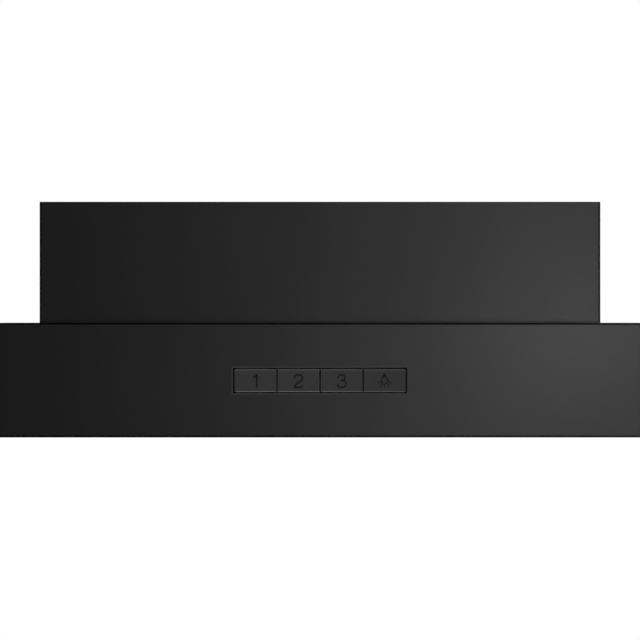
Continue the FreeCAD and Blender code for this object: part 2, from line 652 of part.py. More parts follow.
def motor_body():
    """Motor: laminated stack between two end bells, bored for the shaft."""
    x0, x1 = 10.0, X_SPIDER
    length = x1 - x0
    axis = lambda share: V(x0 + share * length, AXIS_Y, AXIS_Z)
    bells = rod(axis(0), X, length, MOTOR_R - 4)
    bells = round_edges(bells, 3.0, lambda b: b.XMax < x0 + 0.1)
    stack = rod(axis(0.3), X, 0.4 * length, MOTOR_R)
    boss = rod(axis(0) - X * 3, X, 5, 9)
    return fuse([bells, stack, boss]).cut(rod(axis(0) - X * 9, X, length + 20, SHAFT_R + RUNNING))


def impeller():
    """Double-inlet wheel: a web with a hub, forward-curved blades and two end rings."""
    centre = V(0, AXIS_Y, AXIS_Z)
    web_t, ring_t, hub_r = 2.0, 2.0, 10.0
    pieces = [rod(centre - X * (web_t / 2), X, web_t, WHEEL_R), rod(centre - X * 14, X, 17, hub_r)]
    for x in (-WHEEL_HALF, WHEEL_HALF - ring_t):
        pieces.append(tube(centre + X * x, X, ring_t, WHEEL_R, WHEEL_IN_R + 3))

    def at(radius, angle):
        return V(-WHEEL_HALF, radius * math.cos(angle), radius * math.sin(angle))

    tip, root, mid = WHEEL_R - 0.3, WHEEL_IN_R, (WHEEL_R + WHEEL_IN_R) / 2
    lean, half = math.radians(9), BLADE_T / mid / 2
    sides = [[at(root, s * half), at(mid, lean * 0.25 + s * half), at(tip, lean + s * half)] for s in (-1, 1)]
    (a0, a1, a2), (b0, b1, b2) = sides
    blade = Part.Face(Part.Wire([
        Part.Arc(a0, a1, a2).toShape(), Part.LineSegment(a2, b2).toShape(),
        Part.Arc(b2, b1, b0).toShape(), Part.LineSegment(b0, a0).toShape(),
    ])).extrude(X * 2 * WHEEL_HALF)
    for k in range(BLADES):
        copy = blade.copy()
        copy.rotate(V(0, 0, 0), X, 360 * k / BLADES)
        copy.translate(V(0, AXIS_Y, AXIS_Z))
        pieces.append(copy)
    return fuse(pieces).cut(rod(centre - X * 20, X, 40, SHAFT_R))


def build_blower():
    half = scroll_half()
    node("scroll_right", half)
    node("scroll_left", mirror_x(half))
    node("inlet_guard", inlet_guard())
    node("motor_spider", motor_spider())
    bushes = [tube(e, X, BUSH_H, 6, 2.0) for e in spider_arm_ends()]
    node("motor_bushes", group(bushes))
    node("motor_body", motor_body())
    node("motor_shaft", rod(V(-16, AXIS_Y, AXIS_Z), X, X_SPIDER + 16 + 4, SHAFT_R))
    node("impeller", impeller())
    edge = THROAT + SOCKET_FLANGE
    gasket = box(-edge, edge, -edge, edge, Z_THROAT, Z_SOCKET)
    node("outlet_gasket", gasket.cut(box(-THROAT, THROAT, -THROAT, THROAT, Z_THROAT - 1, Z_SOCKET + 1)))


# ---------------------------------------------------------------- electrics
EBOX_W, EBOX_D, EBOX_H, EBOX_WALL = 118.0, 86.0, 46.0, 2.0
EBOX_X = (-HALF_B + -THROAT - SCROLL_WALL) / 2 - 6.0
EBOX_Y = -20.0
Z_EBOX = -SHEET - EBOX_H
POST_H = 8.0                        # posts that hold the power board
Z_POWER = -SHEET - POST_H           # upper face of the power board


def electronics_box():
    """Moulded box under the top plate, open downwards, with posts for its board."""
    x0, x1 = EBOX_X - EBOX_W / 2, EBOX_X + EBOX_W / 2
    y0, y1 = EBOX_Y - EBOX_D / 2, EBOX_Y + EBOX_D / 2
    outer = rounded_plate(x0, x1, y0, y1, Z_EBOX, -SHEET, 3.0)
    w = EBOX_WALL
    inner = box(x0 + w, x1 - w, y0 + w, y1 - w, Z_EBOX - 1, -SHEET - w)
    posts = [rod(V(x, y, Z_POWER), Z, POST_H, 3) for x in (x0 + 8, x1 - 8) for y in (y0 + 8, y1 - 8)]
    return fuse([outer.cut(inner)] + posts)


def electronics_cover():
    """Lid of the electronics box, with a rim inside its walls."""
    x0, x1 = EBOX_X - EBOX_W / 2, EBOX_X + EBOX_W / 2
    y0, y1 = EBOX_Y - EBOX_D / 2, EBOX_Y + EBOX_D / 2
    lid = rounded_plate(x0, x1, y0, y1, Z_EBOX - 2, Z_EBOX, 3.0)
    w = EBOX_WALL + FIT
    rim = box(x0 + w, x1 - w, y0 + w, y1 - w, Z_EBOX - 0.5, Z_EBOX + 4)
    rim = rim.cut(box(x0 + w + 1.5, x1 - w - 1.5, y0 + w + 1.5, y1 - w - 1.5, Z_EBOX, Z_EBOX + 9))
    return fuse([lid, rim])


def terminal_block():
    """Screw terminals on the board, one way per wire."""
    ways, pitch, y0, z1 = 6, 8.0, EBOX_Y - 30, Z_POWER - BOARD_T
    x0 = EBOX_X - ways * pitch / 2
    block = box(x0, x0 + ways * pitch, y0, y0 + 14, z1 - 14, z1)
    wells = [rod(V(x0 + pitch * (k + 0.5), y0 + 9, z1 - 15), Z, 9, 2.4) for k in range(ways)]
    mouths = [box(x0 + pitch * k + 1.6, x0 + pitch * (k + 1) - 1.6, y0 - 1, y0 + 4, z1 - 12, z1 - 7)
              for k in range(ways)]
    return block.cut(group(wells + mouths))


def build_electrics():
    node("electronics_box", electronics_box())
    node("electronics_cover", electronics_cover())
    half_w, half_d = EBOX_W / 2 - EBOX_WALL - 1, EBOX_D / 2 - EBOX_WALL - 1
    z1 = Z_POWER - BOARD_T
    node("power_board", box(EBOX_X - half_w, EBOX_X + half_w, EBOX_Y - half_d, EBOX_Y + half_d, z1, Z_POWER))
    node("terminal_block", terminal_block())
    can_l, can_r = 48.0, 12.5
    can = rod(V(EBOX_X - can_l / 2, EBOX_Y + 18, z1 - can_r - 0.5), X, can_l, can_r)
    node("run_capacitor", round_edges(can, 1.5, lambda b: b.XLength < 0.01))
    cover, drop = Z_EBOX - 2, 22.0
    x, y = EBOX_X + 20, EBOX_Y - 24
    node("lead_control", lead([
        V(LEAD_HOLE.x, Y_BOARD + BOARD_T, Z_KEYS), V(LEAD_HOLE.x, Y_CASING + 36, Z_KEYS),
        V(x + 10, y - 30, Z_KEYS + 48), V(x, y, cover - drop), V(x, y, cover),
    ], LEAD_R))
    scroll_back = THROAT + SCROLL_WALL + LUG_R + 14
    spider_x, spider_y = X_SPIDER + SPIDER_T, AXIS_Y + MOTOR_R / 2 + 2
    x, y = EBOX_X + 40, EBOX_Y + 24
    node("lead_motor", lead([
        V(x, y, cover), V(x, y, cover - drop), V(-THROAT - 12, scroll_back + 6, cover - 42),
        V(THROAT + 10, scroll_back + 4, cover - 38), V(spider_x + 30, spider_y + 22, AXIS_Z + 6),
        V(spider_x + 22, spider_y, AXIS_Z), V(spider_x, spider_y, AXIS_Z),
    ], LEAD_R))
    lamp_top = Z_PLATE + LAMP_NECK + LAMP_HEAT_H
    x, y = EBOX_X - 35, EBOX_Y - 24
    left = lead([
        V(x, y, cover), V(x, y, cover - drop), V(x + 10, y - 30, cover - 80),
        V(-LAMP_X, LAMP_Y, lamp_top + 30), V(-LAMP_X, LAMP_Y, lamp_top),
    ], LEAD_R)
    front = (Y_BODY + AXIS_Y - R_FRONT - SCROLL_WALL - 2 * LUG_R) / 2
    x, y = EBOX_X + 44, EBOX_Y - 30
    right = lead([
        V(x, y, cover), V(x, y, cover - drop), V(-THROAT - 4, front, cover - 40),
        V(THROAT + 4, front - 1, cover - 46), V(LAMP_X, LAMP_Y, lamp_top + 30), V(LAMP_X, LAMP_Y, lamp_top),
    ], LEAD_R)
    node("lead_lamps", group([left, right]))


# ---------------------------------------------------------------- lamps
LENS_R = LAMP_R - 3.0
LAMP_NECK = 7.0                     # ring's neck above the plate's lower face
LAMP_HEAT_H = 16.0
RING_T = 1.6


def lamp_ring(x):
    """Turned ring with a thin flange, and two clips that grip the plate."""
    centre = V(x, LAMP_Y, Z_PLATE)
    flange = rod(centre - Z * RING_T, Z, RING_T, LAMP_FLANGE_R)
    flange = round_edges(flange, 1.0, lambda b: b.ZMax < Z_PLATE - RING_T + 0.1)
    neck = rod(centre - Z * 0.5, Z, LAMP_NECK + 0.5, LAMP_R)
    clips = [box(x + s * LAMP_R - 1.5, x + s * LAMP_R + 3.0, LAMP_Y - 4, LAMP_Y + 4, Z_LEDGE, Z_LEDGE + 3)
             for s in (-1, 1)]
    bore = rod(centre - Z * 9, Z, LAMP_NECK + 8, LENS_R)
    face = Part.makeCone(LENS_R + RING_T, LENS_R, RING_T, centre - Z * RING_T, Z)
    through = rod(centre, Z, LAMP_NECK + 2, LENS_R - 1.5)
    return fuse([flange, neck] + clips).cut(bore).cut(face).cut(through)


def lamp_lens(x):
    """Slightly domed diffuser."""
    disc = rod(V(x, LAMP_Y, Z_PLATE - 0.2), Z, 3.0, LENS_R)
    return round_edges(disc, 0.8, lambda b: b.ZMax < Z_PLATE)


def lamp_heatsink(x):
    """Ribbed aluminium back of the lamp, seated on the ring."""
    base = rod(V(x, LAMP_Y, Z_PLATE + LAMP_NECK), Z, LAMP_HEAT_H, LAMP_R - 1)
    plug = rod(V(x, LAMP_Y, Z_PLATE + 2.8), Z, 5, LENS_R - 1.5)
    grooves = [tube(V(x, LAMP_Y, Z_PLATE + LAMP_NECK + h), Z, 2, LAMP_R + 1, LAMP_R - 6) for h in (3, 7, 11)]
    return fuse([base, plug]).cut(group(grooves))


def build_lamps():
    for name, x in (("left", -LAMP_X), ("right", LAMP_X)):
        node(f"lamp_ring_{name}", lamp_ring(x))
        node(f"lamp_lens_{name}", lamp_lens(x))
    node("lamp_heatsinks", group([lamp_heatsink(x) for x in (-LAMP_X, LAMP_X)]))


# ---------------------------------------------------------------- grease filters
LATCH_HOUSING_W, LATCH_HOUSING_D = LATCH_W + 28.0, 26.0
SLIDER_T = 2.4
Z_SLIDER = Z_LEDGE + 0.3
FINGER_DROP = 5.0
TONGUE = 3.5                        # latch tongue's rest on the ledge
SLIDER_L = 17.0
MESH_T = FILTER_T - 4.0


def latch_block(x, grow=0.0):
    """The space of the latch housing at the front edge of a filter."""
    half = LATCH_HOUSING_W / 2 + grow
    return box(x - half, x + half, FILTER_Y0 - grow, FILTER_Y0 + LATCH_HOUSING_D + grow,
               Z_PLATE - grow, Z_PLATE + FILTER_T + grow)


def mesh_pack(x):
    """Solid of the layered metal mesh, whose edges sit in the frame's groove."""
    inside = FILTER_HALF - FILTER_RAIL + 2
    y0, y1 = FILTER_Y0 + FILTER_RAIL - 2, FILTER_Y1 - FILTER_RAIL + 2
    slab = box(x - inside, x + inside, y0, y1, Z_PLATE + 2, Z_PLATE + 2 + MESH_T)
    return slab.cut(latch_block(x))


def filter_frame(x):
    """Aluminium frame with two tabs that hook over the rear ledge."""
    outer = rounded_plate(x - FILTER_HALF, x + FILTER_HALF, FILTER_Y0, FILTER_Y1,
                          Z_PLATE, Z_PLATE + FILTER_T, 2.0)
    half = FILTER_HALF - FILTER_RAIL
    window = box(x - half, x + half, FILTER_Y0 + FILTER_RAIL, FILTER_Y1 - FILTER_RAIL,
                 Z_PLATE - 1, Z_PLATE + FILTER_T + 1)
    tabs = [box(x + s - 8, x + s + 8, FILTER_Y1 - 2, FILTER_Y1 + FILTER_GAP + 5, Z_SLIDER, Z_SLIDER + 1.5)
            for s in (-FILTER_HALF / 2, FILTER_HALF / 2)]
    return fuse([outer.cut(window)] + tabs).cut(mesh_pack(x)).cut(latch_block(x))


def latch_housing(x):
    """Moulded block that guides the slider; its lower face has a slot for the finger tab."""
    back = FILTER_Y0 + SLIDER_L + LATCH_TRAVEL + 2
    cavity = box(x - LATCH_W / 2 - FIT, x + LATCH_W / 2 + FIT, FILTER_Y0 - 1, back,
                 Z_SLIDER - 0.15, Z_SLIDER + SLIDER_T + 0.3)
    slot = box(x - 13, x + 13, FILTER_Y0 + 5, FILTER_Y0 + 22, Z_PLATE - 1, Z_SLIDER)
    block = latch_block(x)
    block = round_edges(block, 1.0, lambda b: runs_along(b, "y") and b.ZMax < Z_PLATE + 1)
    return block.cut(cavity).cut(slot)


def latch_slider(x):
    """Sliding bolt: plate, a narrower tongue over the front ledge, and a ridged finger tab."""
    z0, z1 = Z_SLIDER, Z_SLIDER + SLIDER_T
    plate = box(x - LATCH_W / 2, x + LATCH_W / 2, FILTER_Y0, FILTER_Y0 + SLIDER_L, z0, z1)
    tongue = box(x - 11, x + 11, FILTER_Y0 - FILTER_GAP - TONGUE, FILTER_Y0 + 1, z0, z1)
    tab = box(x - 12, x + 12, FILTER_Y0 + 6, FILTER_Y0 + 13, Z_PLATE - FINGER_DROP, z0 + 1)
    tab = round_edges(tab, 1.5, lambda b: b.ZMax < Z_PLATE - FINGER_DROP + 0.01 and runs_along(b, "x"))
    return fuse([plate, tongue, tab])


def latch_spring(x):
    """Folded steel strip that pushes the slider forwards."""
    half, thick, folds = 3.5, 0.3, 5
    length, height = LATCH_TRAVEL + 2, SLIDER_T - 0.8
    y0, z0 = FILTER_Y0 + SLIDER_L, Z_SLIDER + 0.4
    pitch = (length - thick) / folds
    strips = [box(x - half, x + half, y, y + thick, z0, z0 + height) for y in (y0, y0 + length - thick)]
    for k in range(folds):
        side = half if k % 2 else -half
        start, end = V(x + side, y0 + k * pitch, z0), V(x - side, y0 + (k + 1) * pitch, z0)
        outline = Part.makePolygon([start, end, end + Y * thick, start + Y * thick, start])
        strips.append(Part.Face(outline).extrude(Z * height))
    return fuse(strips)


def build_filters():
    for name, x in (("left", -FILTER_X), ("right", FILTER_X)):
        node(f"filter_frame_{name}", filter_frame(x))
        node(f"filter_mesh_{name}", mesh_pack(x))
        node(f"latch_housing_{name}", latch_housing(x))
        node(f"latch_slider_{name}", latch_slider(x))
        node(f"latch_spring_{name}", latch_spring(x))


# ---------------------------------------------------------------- fasteners
def build_fasteners():
    side_x = HALF_B
    flange_z = -FLANGE / 2 - 1
    body = []
    for y in (Y_BODY * 0.72, 0.0, Y_BACK * 0.72):
        for side in (-1, 1):
            body.append(countersunk(V(side * side_x, y, flange_z), X * -side, 7.0))
    for x in (-HALF_B * 0.62, HALF_B * 0.62):
        body.append(countersunk(V(x, Y_BACK, flange_z), Y * -1, 7.0))
    for side in (-1, 1):
        for z in (Z_DECK * 0.35, Z_DECK * 0.8):
            body.append(countersunk(V(side * side_x, Y_BACK - FLANGE / 2, z), X * -side, 6.0))
    node("body_screws", group(body))
    drill(["body_wrap", "body_back", "top_plate"], body)

    ring = SPIGOT_R + SOCKET_WALL + (SOCKET_FLANGE - SOCKET_WALL + 2) / 2
    diagonal = ring * math.sqrt(0.5)
    corners = [V(sx * diagonal, sy * diagonal, 0) for sx in (-1, 1) for sy in (-1, 1)]
    blower = [countersunk(p, Z * -1, SHEET + SOCKET_FLANGE_T) for p in corners]
    blower += [pan_head(V(p.x, p.y, Z_SOCKET + SOCKET_FLANGE_T), Z * -1, 9.0) for p in throat_screws()]
    blower += [pan_head(p + X * LUG_T, X * -1, 2 * LUG_T) for p in lug_places()]
    blower += [pan_head(V(X_SPIDER + SPIDER_T, e.y, e.z), X * -1, SPIDER_T + BUSH_H + SCROLL_WALL, 2.0, 4.0)
               for e in spider_arm_ends()]
    node("blower_screws", group(blower))
    drill(["top_plate", "outlet_socket", "scroll_left", "scroll_right", "outlet_gasket",
           "motor_spider", "motor_bushes"], blower)

    edge_x = HALF_W - FLANGE / 2 + 1.0
    seats = [V(s * edge_x, y, Z_LEDGE) for s in (-1, 1) for y in (Y_BODY * 0.8, 0.0, Y_BACK * 0.8)]
    rows = (Y_CASING + FIT + FLANGE / 2 - 1, Y_BACK - FLANGE / 2 + 1)
    seats += [V(x, y, Z_LEDGE) for x in (-HALF_W * 0.45, HALF_W * 0.45) for y in rows]
    casing = [pan_head(p, Z * -1, 5.0) for p in seats]
    web = Y_CASING + FIT + SHEET
    for x, z, way in bracket_places():
        casing.append(pan_head(V(x, web, z + way * (BRACKET_H - 7)), Y * -1, SHEET + BRACKET_T + 1.5))
    node("casing_screws", group(casing))
    drill(["underside_plate", "side_skirt_left", "side_skirt_right", "front_rail", "rear_rail",
           "panel_brackets"], casing)


def main():
    build_body()
    build_casing()
    build_keys()
    build_blower()
    build_lamps()
    build_electrics()
    build_filters()
    build_fasteners()
    os.makedirs("parts", exist_ok=True)
    for name, shape in NODES.items():
        solids = shape.Solids
        if not solids or not all(s.isValid() and s.Volume > 0 for s in solids):
            raise SystemExit(f"{name} is not made of valid solids")
        whole = solids[0] if len(solids) == 1 else Part.makeCompound(solids)
        whole.exportStep(f"parts/{name}.step")
    print(len(NODES), "nodes")


main()
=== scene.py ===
# %% [markdown]
# # A black box-shaped range hood
# The hood is two stacked boxes of folded steel sheet: a wide lower casing with four push keys, and a
# narrower body above it that holds the blower. This lesson dresses the finished CAD assembly. Every moving
# or fitted piece already exists in the frame, so the work here is on surfaces and small detail: powder
# coat, printed keys, expanded grease filters, screw heads, lamps and light. Each new piece is tied to the
# body that carries it, so it follows when a key is pressed or a filter swings down.

import math

import bpy
import bmesh
from mathutils import Matrix, Vector


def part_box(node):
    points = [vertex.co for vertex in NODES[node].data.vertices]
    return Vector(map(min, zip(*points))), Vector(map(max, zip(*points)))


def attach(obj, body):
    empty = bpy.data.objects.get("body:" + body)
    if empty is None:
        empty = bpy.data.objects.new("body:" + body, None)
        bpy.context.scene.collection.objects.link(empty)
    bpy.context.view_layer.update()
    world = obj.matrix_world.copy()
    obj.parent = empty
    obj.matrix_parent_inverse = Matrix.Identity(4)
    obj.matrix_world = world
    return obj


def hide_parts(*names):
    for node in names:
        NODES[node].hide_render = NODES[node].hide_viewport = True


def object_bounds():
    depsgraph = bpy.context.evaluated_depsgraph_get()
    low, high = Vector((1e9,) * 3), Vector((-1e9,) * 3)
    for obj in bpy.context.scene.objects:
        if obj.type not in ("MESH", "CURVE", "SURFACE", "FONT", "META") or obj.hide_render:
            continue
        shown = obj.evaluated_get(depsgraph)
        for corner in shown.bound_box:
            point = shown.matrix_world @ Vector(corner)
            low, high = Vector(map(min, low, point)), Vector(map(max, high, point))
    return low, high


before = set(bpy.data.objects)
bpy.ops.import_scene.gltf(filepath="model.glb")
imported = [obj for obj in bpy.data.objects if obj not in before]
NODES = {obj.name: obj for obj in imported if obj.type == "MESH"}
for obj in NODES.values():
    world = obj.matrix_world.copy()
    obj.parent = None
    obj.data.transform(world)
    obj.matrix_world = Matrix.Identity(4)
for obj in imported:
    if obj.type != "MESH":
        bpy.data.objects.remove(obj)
CAD_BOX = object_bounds()
MM = 0.001


def plain(corners):
    """Box corners as plain lists, for writing to a file."""
    return [[float(value) for value in corner] for corner in corners]


print(len(NODES), "CAD nodes, box in mm:", [[round(v * 1000, 1) for v in c] for c in plain(CAD_BOX)])

# %% [markdown]
# ## Measuring from the frame
# Nothing is placed by eye.

# %% Sizes taken from the frame
def low(node):
    """Lowest corner of a CAD piece."""
    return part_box(node)[0]


def high(node):
    """Highest corner of a CAD piece."""
    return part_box(node)[1]


def middle(node):
    """Centre of a CAD piece's box."""
    return (low(node) + high(node)) / 2


PANEL_WIDTH = high("front_panel").x - low("front_panel").x
PANEL_FACE = low("front_panel").y
HOOD_MIDDLE = (CAD_BOX[0][2] + CAD_BOX[1][2]) / 2
print("panel width", round(PANEL_WIDTH, 4), "key height", round(high("key_light").z - low("key_light").z, 4))

# %% [markdown]
# ## The camera
# The hood is seen square from the front and from far away, so that its edges stay parallel. A long lens at
# a long distance does that. The width of view at the panel's face is the panel less its two bent edges.

# %% Camera square to the front
LENS = 400.0
SENSOR = 36.0
VIEW_WIDTH = PANEL_WIDTH - 4.0 * MM
CAMERA_DROP = 0.5 * MM
camera_data = bpy.data.cameras.new("camera")
camera_data.lens = LENS
camera_data.sensor_width = SENSOR
camera_data.clip_end = 200.0
camera = bpy.data.objects.new("camera", camera_data)
bpy.context.scene.collection.objects.link(camera)
distance = VIEW_WIDTH * LENS / SENSOR
camera.location = (0.0, PANEL_FACE - distance, HOOD_MIDDLE - CAMERA_DROP)
camera.rotation_euler = (math.radians(90), 0, 0)
bpy.context.scene.camera = camera
print("camera stands", round(distance, 3), "m in front of the panel")

# %% [markdown]
# ## Writing shader sums as Python
# A material is a web of nodes. Joining sockets by hand is long and hard to read, so one small class wraps a
# socket and lets `+`, `*` or `1 - mask` add the Math node. Anything that isn't plain maths comes from one
# `add` method, which takes the node's type, its settings and the values or links of its sockets.

# %% A socket that understands arithmetic
class Sock:
    """A node's output that can be used in sums."""

    def __init__(self, shader, socket):
        self.shader = shader
        self.socket = socket

    def maths(self, operation, *others):
        return self.shader.add("ShaderNodeMath", {"operation": operation}, dict(enumerate((self,) + others)))

    def __add__(self, other):
        return self.maths("ADD", other)

    __radd__ = __add__

    def __sub__(self, other):
        return self.maths("SUBTRACT", other)

    def __rsub__(self, other):
        return self.maths("MULTIPLY", -1.0).maths("ADD", other)

    def __mul__(self, other):
        return self.maths("MULTIPLY", other)

    __rmul__ = __mul__

    def __truediv__(self, other):
        return self.maths("DIVIDE", other)

    def __abs__(self):
        return self.maths("ABSOLUTE")

    def largest(self, other):
        return self.maths("MAXIMUM", other)

    def smallest(self, other):
        return self.maths("MINIMUM", other)

    def above(self, other):
        return self.maths("GREATER_THAN", other)

    def clamped(self):
        return self.largest(0.0).smallest(1.0)


# %% [markdown]
# A material starts empty, with only its output. The methods below are the few steps that every finish of this
# hood repeats: a coordinate, a noise, a colour ramp, a mix, a bump. Everything is read in object coordinates,
# so a grain keeps its real size on a small key and on a wide sheet alike.

# %% One material under construction
class Shader:
    """One material under construction."""

    def __init__(self, name):
        self.material = bpy.data.materials.new(name)
        self.material.use_nodes = True
        self.tree = self.material.node_tree
        self.tree.nodes.clear()
        self.output = self.tree.nodes.new("ShaderNodeOutputMaterial")

    def add(self, kind, settings=None, inputs=None, output=0):
        """Adds any node: its settings first, then the values or links of its sockets."""
        node = self.tree.nodes.new(kind)
        for key, value in (settings or {}).items():
            if key == "stops":
                self.set_stops(node.color_ramp, value)
            else:
                setattr(node, key, value)
        for key, value in (inputs or {}).items():
            if isinstance(value, Sock):
                self.tree.links.new(value.socket, node.inputs[key])
            else:
                node.inputs[key].default_value = value
        return Sock(self, node.outputs[output])

    @staticmethod
    def set_stops(ramp, stops):
        """Fills a colour ramp with (place, grey or colour) stops."""
        while len(ramp.elements) < len(stops):
            ramp.elements.new(1.0)
        for element, (place, shade) in zip(ramp.elements, stops):
            element.position = place
            element.color = (shade, shade, shade, 1.0) if isinstance(shade, (int, float)) else shade

    def place(self):
        """Object coordinates, in metres."""
        return self.add("ShaderNodeTexCoord", output="Object")

    def parts(self, vector):
        """The X, Y and Z of a vector."""
        split = self.add("ShaderNodeSeparateXYZ", {}, {0: vector})
        return [Sock(self, out) for out in split.socket.node.outputs]

    def noise(self, scale, detail=2.0, rough=0.5, at=None):
        """A smooth random value; scale is in cycles per metre."""
        return self.add("ShaderNodeTexNoise", {}, {"Vector": at or self.place(), "Scale": scale,
                                                   "Detail": detail, "Roughness": rough})

    def stretched(self, scale):
        """Object coordinates, squeezed or stretched along each axis."""
        return self.add("ShaderNodeMapping", {}, {"Vector": self.place(), "Scale": scale})

    def cells(self, scale):
        """Voronoi cells, each of one colour; scale is in cells per metre."""
        return self.add("ShaderNodeTexVoronoi", {}, {"Vector": self.place(), "Scale": scale}, output="Color")

    def reach(self, axis_point):
        """Distance from an upright axis through a point."""
        x, y, _ = self.parts(self.place())
        dx, dy = x - axis_point.x, y - axis_point.y
        return (dx * dx + dy * dy).maths("SQRT")

    def ramp(self, value, stops):
        """Maps a value through grey or coloured stops."""
        return self.add("ShaderNodeValToRGB", {"stops": stops}, {"Fac": value})

    def blend(self, factor, first, second):
        """Mixes two colours."""
        return self.add("ShaderNodeMix", {"data_type": "RGBA"}, {"Factor": factor, 6: first, 7: second},
                        output=2)

    def bump(self, height, strength, depth, beneath=None):
        """Turns a height into a surface normal; depth is in metres."""
        inputs = {"Height": height, "Strength": strength, "Distance": depth}
        if beneath is not None:
            inputs["Normal"] = beneath
        return self.add("ShaderNodeBump", {}, inputs)

    def bends(self):
        """Zero on faces that lie square to the frame, rising on bends and chamfers."""
        x, y, z = self.parts(self.add("ShaderNodeTexCoord", output="Normal"))
        return ((1.0 - abs(x).largest(abs(y)).largest(abs(z))) * 5.0).clamped()

    def surface(self, **inputs):
        """Ends the material with a Principled surface; names use _ for spaces."""
        sockets = {key.replace("_", " "): value for key, value in inputs.items()}
        shader = self.add("ShaderNodeBsdfPrincipled", {}, sockets)
        self.tree.links.new(shader.socket, self.output.inputs["Surface"])
        return self.material


# %% Greys, and giving CAD pieces their material
def grey(value, tint=0.0):
    """A neutral colour, slightly cool when tint is above zero."""
    return (value * (1 - tint), value, value * (1 + tint), 1.0)


def dress(material, *names):
    """Gives CAD nodes their material."""
    for name in names:
        NODES[name].data.materials.clear()
        NODES[name].data.materials.append(material)
    print(material.name, "on", len(names), "nodes")


# %% [markdown]
# ## Powder coat
# Every outside sheet is satin black powder coat. The powder melts into a skin with a very fine orange-peel
# texture, so highlights are soft but not blurred. Two noises give it: a coarse one for the slow waviness of a
# thin sheet's paint and a fine one for the grain. The colour drifts by a few percent, and handling polishes
# the roughness in patches. A mask of the surface's own direction makes every bend and chamfer duller and
# darkens it towards black. The darkening is painted shade, so that the edges read as dark lines. The same
# mask feeds Metallic, because a dark metallic surface loses the white sheen that a plastic one keeps at any
# colour, and the bends stay almost black.

# %% Satin black powder coat
COAT_GREY = 0.034
COAT_ROUGH = 0.42
# BEND_SHADE is the grey of the painted shade on bends and chamfers.
BEND_SHADE = 0.1
# The rim value lightens the coat round the keys as a painted highlight.
RIM_HIGHLIGHT = 2.9


def powder_coat(name, base, rough, rim=None):
    """Satin coat; rim gives two masks: a painted highlight round the key opening, and painted shade at the
    opening's edge.
    """
    s = Shader(name)
    fine = s.bump(s.noise(6500.0, 3.0, 0.6), 0.12, 0.00005)
    normal = s.bump(s.noise(60.0, 2.0), 0.08, 0.0002, fine)
    flat = s.ramp(s.noise(7.0, 3.0), [(0.3, grey(base * 0.94)), (0.7, grey(base * 1.06))])
    bend = s.bends()
    roughness = s.noise(22.0, 4.0) * 0.06 + bend * 0.2 + (rough - 0.03)
    if rim:
        # Painted highlight on the rim round the keys, and painted shade at the opening's edge.
        edge, edge_shade = rim(s)
        flat = s.blend(edge, flat, grey(base * RIM_HIGHLIGHT))
        roughness = roughness - edge * 0.08
        bend = bend.largest(edge_shade)
    # Painted shade: bends, and the edge of the key opening, are blended towards near black.
    colour = s.blend(bend, flat, grey(base * BEND_SHADE))
    return s.surface(Base_Color=colour, Metallic=bend, Roughness=roughness, Normal=normal)


dress(powder_coat("powder_coat", COAT_GREY, COAT_ROUGH),
      "body_wrap", "body_back", "top_plate", "casing_deck", "side_skirt_left", "side_skirt_right",
      "front_rail", "rear_rail", "underside_plate")

# %% [markdown]
# Round the key opening the coat is lightened in a narrow rim of painted highlight, painted strongest at its
# left end. Its mask is the distance from the key strip's outline, worked out from the strip's own box: how
# far a point is outside it sideways, how far upwards, and the larger of the two. The last few tenths of a
# millimetre before the opening are painted dark like the bends, as painted shade at the cut edge.

# %% A painted highlight round the keys
# The first width is that of the painted highlight round the keys, the second that of the painted shade at the
# opening's edge.
RIM_WIDTH = 1.9 * MM
EDGE_SHADE_WIDTH = 0.4 * MM
RIM_MIDDLE, RIM_LEAN = 0.55, 5.5
BEZEL_LAP = (5.0 * MM, 4.0 * MM)
strip = middle("key_bezel")
STRIP_HALF_W = high("key_bezel").x - strip.x - BEZEL_LAP[0]
STRIP_HALF_H = high("key_bezel").z - strip.z - BEZEL_LAP[1]


def strip_rim(s):
    """Two masks: the painted highlight on the rim round the key opening, zero a rim's width away, and the
    painted shade at the edge inside it.
    """
    x, _, z = s.parts(s.place())
    out_x = abs(x - strip.x) - STRIP_HALF_W
    out_z = abs(z - strip.z) - STRIP_HALF_H
    out = out_x.largest(out_z)
    # The painted rim highlight is made strongest at the left end.
    lean = RIM_MIDDLE - (x - strip.x) * RIM_LEAN
    return (1.0 - out / RIM_WIDTH).clamped() * lean.clamped(), (1.0 - out / EDGE_SHADE_WIDTH).clamped()


dress(powder_coat("panel_coat", COAT_GREY, COAT_ROUGH, strip_rim), "front_panel")
print("key strip", round(STRIP_HALF_W * 2000, 1), "by", round(STRIP_HALF_H * 2000, 1), "mm")

# %% [markdown]
# ## Moulded plastics
# Moulded pieces differ in three things: colour, gloss and the grain that the mould's surface leaves. One
# function takes those, and adds faint flow marks, which every moulding has. The keys are smoother than the
# rest, and lighter lines of painted highlight run along their edges.

# %% Plastics
def moulded(name, base, rough, grain=2600.0, depth=0.00006, edge=1.0, tint=0.0):
    """Moulded plastic; edge above one makes bevels lighter, as wear does."""
    s = Shader(name)
    flow = s.noise(35.0, 3.0, at=s.stretched((1.0, 1.0, 0.35)))
    body = s.ramp(flow, [(0.35, grey(base * 0.93, tint)), (0.7, grey(base * 1.07, tint))])
    colour = s.blend(s.bends(), body, grey(base * edge, tint))
    normal = s.bump(s.noise(grain, 2.0, 0.6), 0.35, depth)
    roughness = s.noise(90.0, 3.0) * 0.08 + (rough - 0.04)
    return s.surface(Base_Color=colour, Roughness=roughness, Normal=normal)


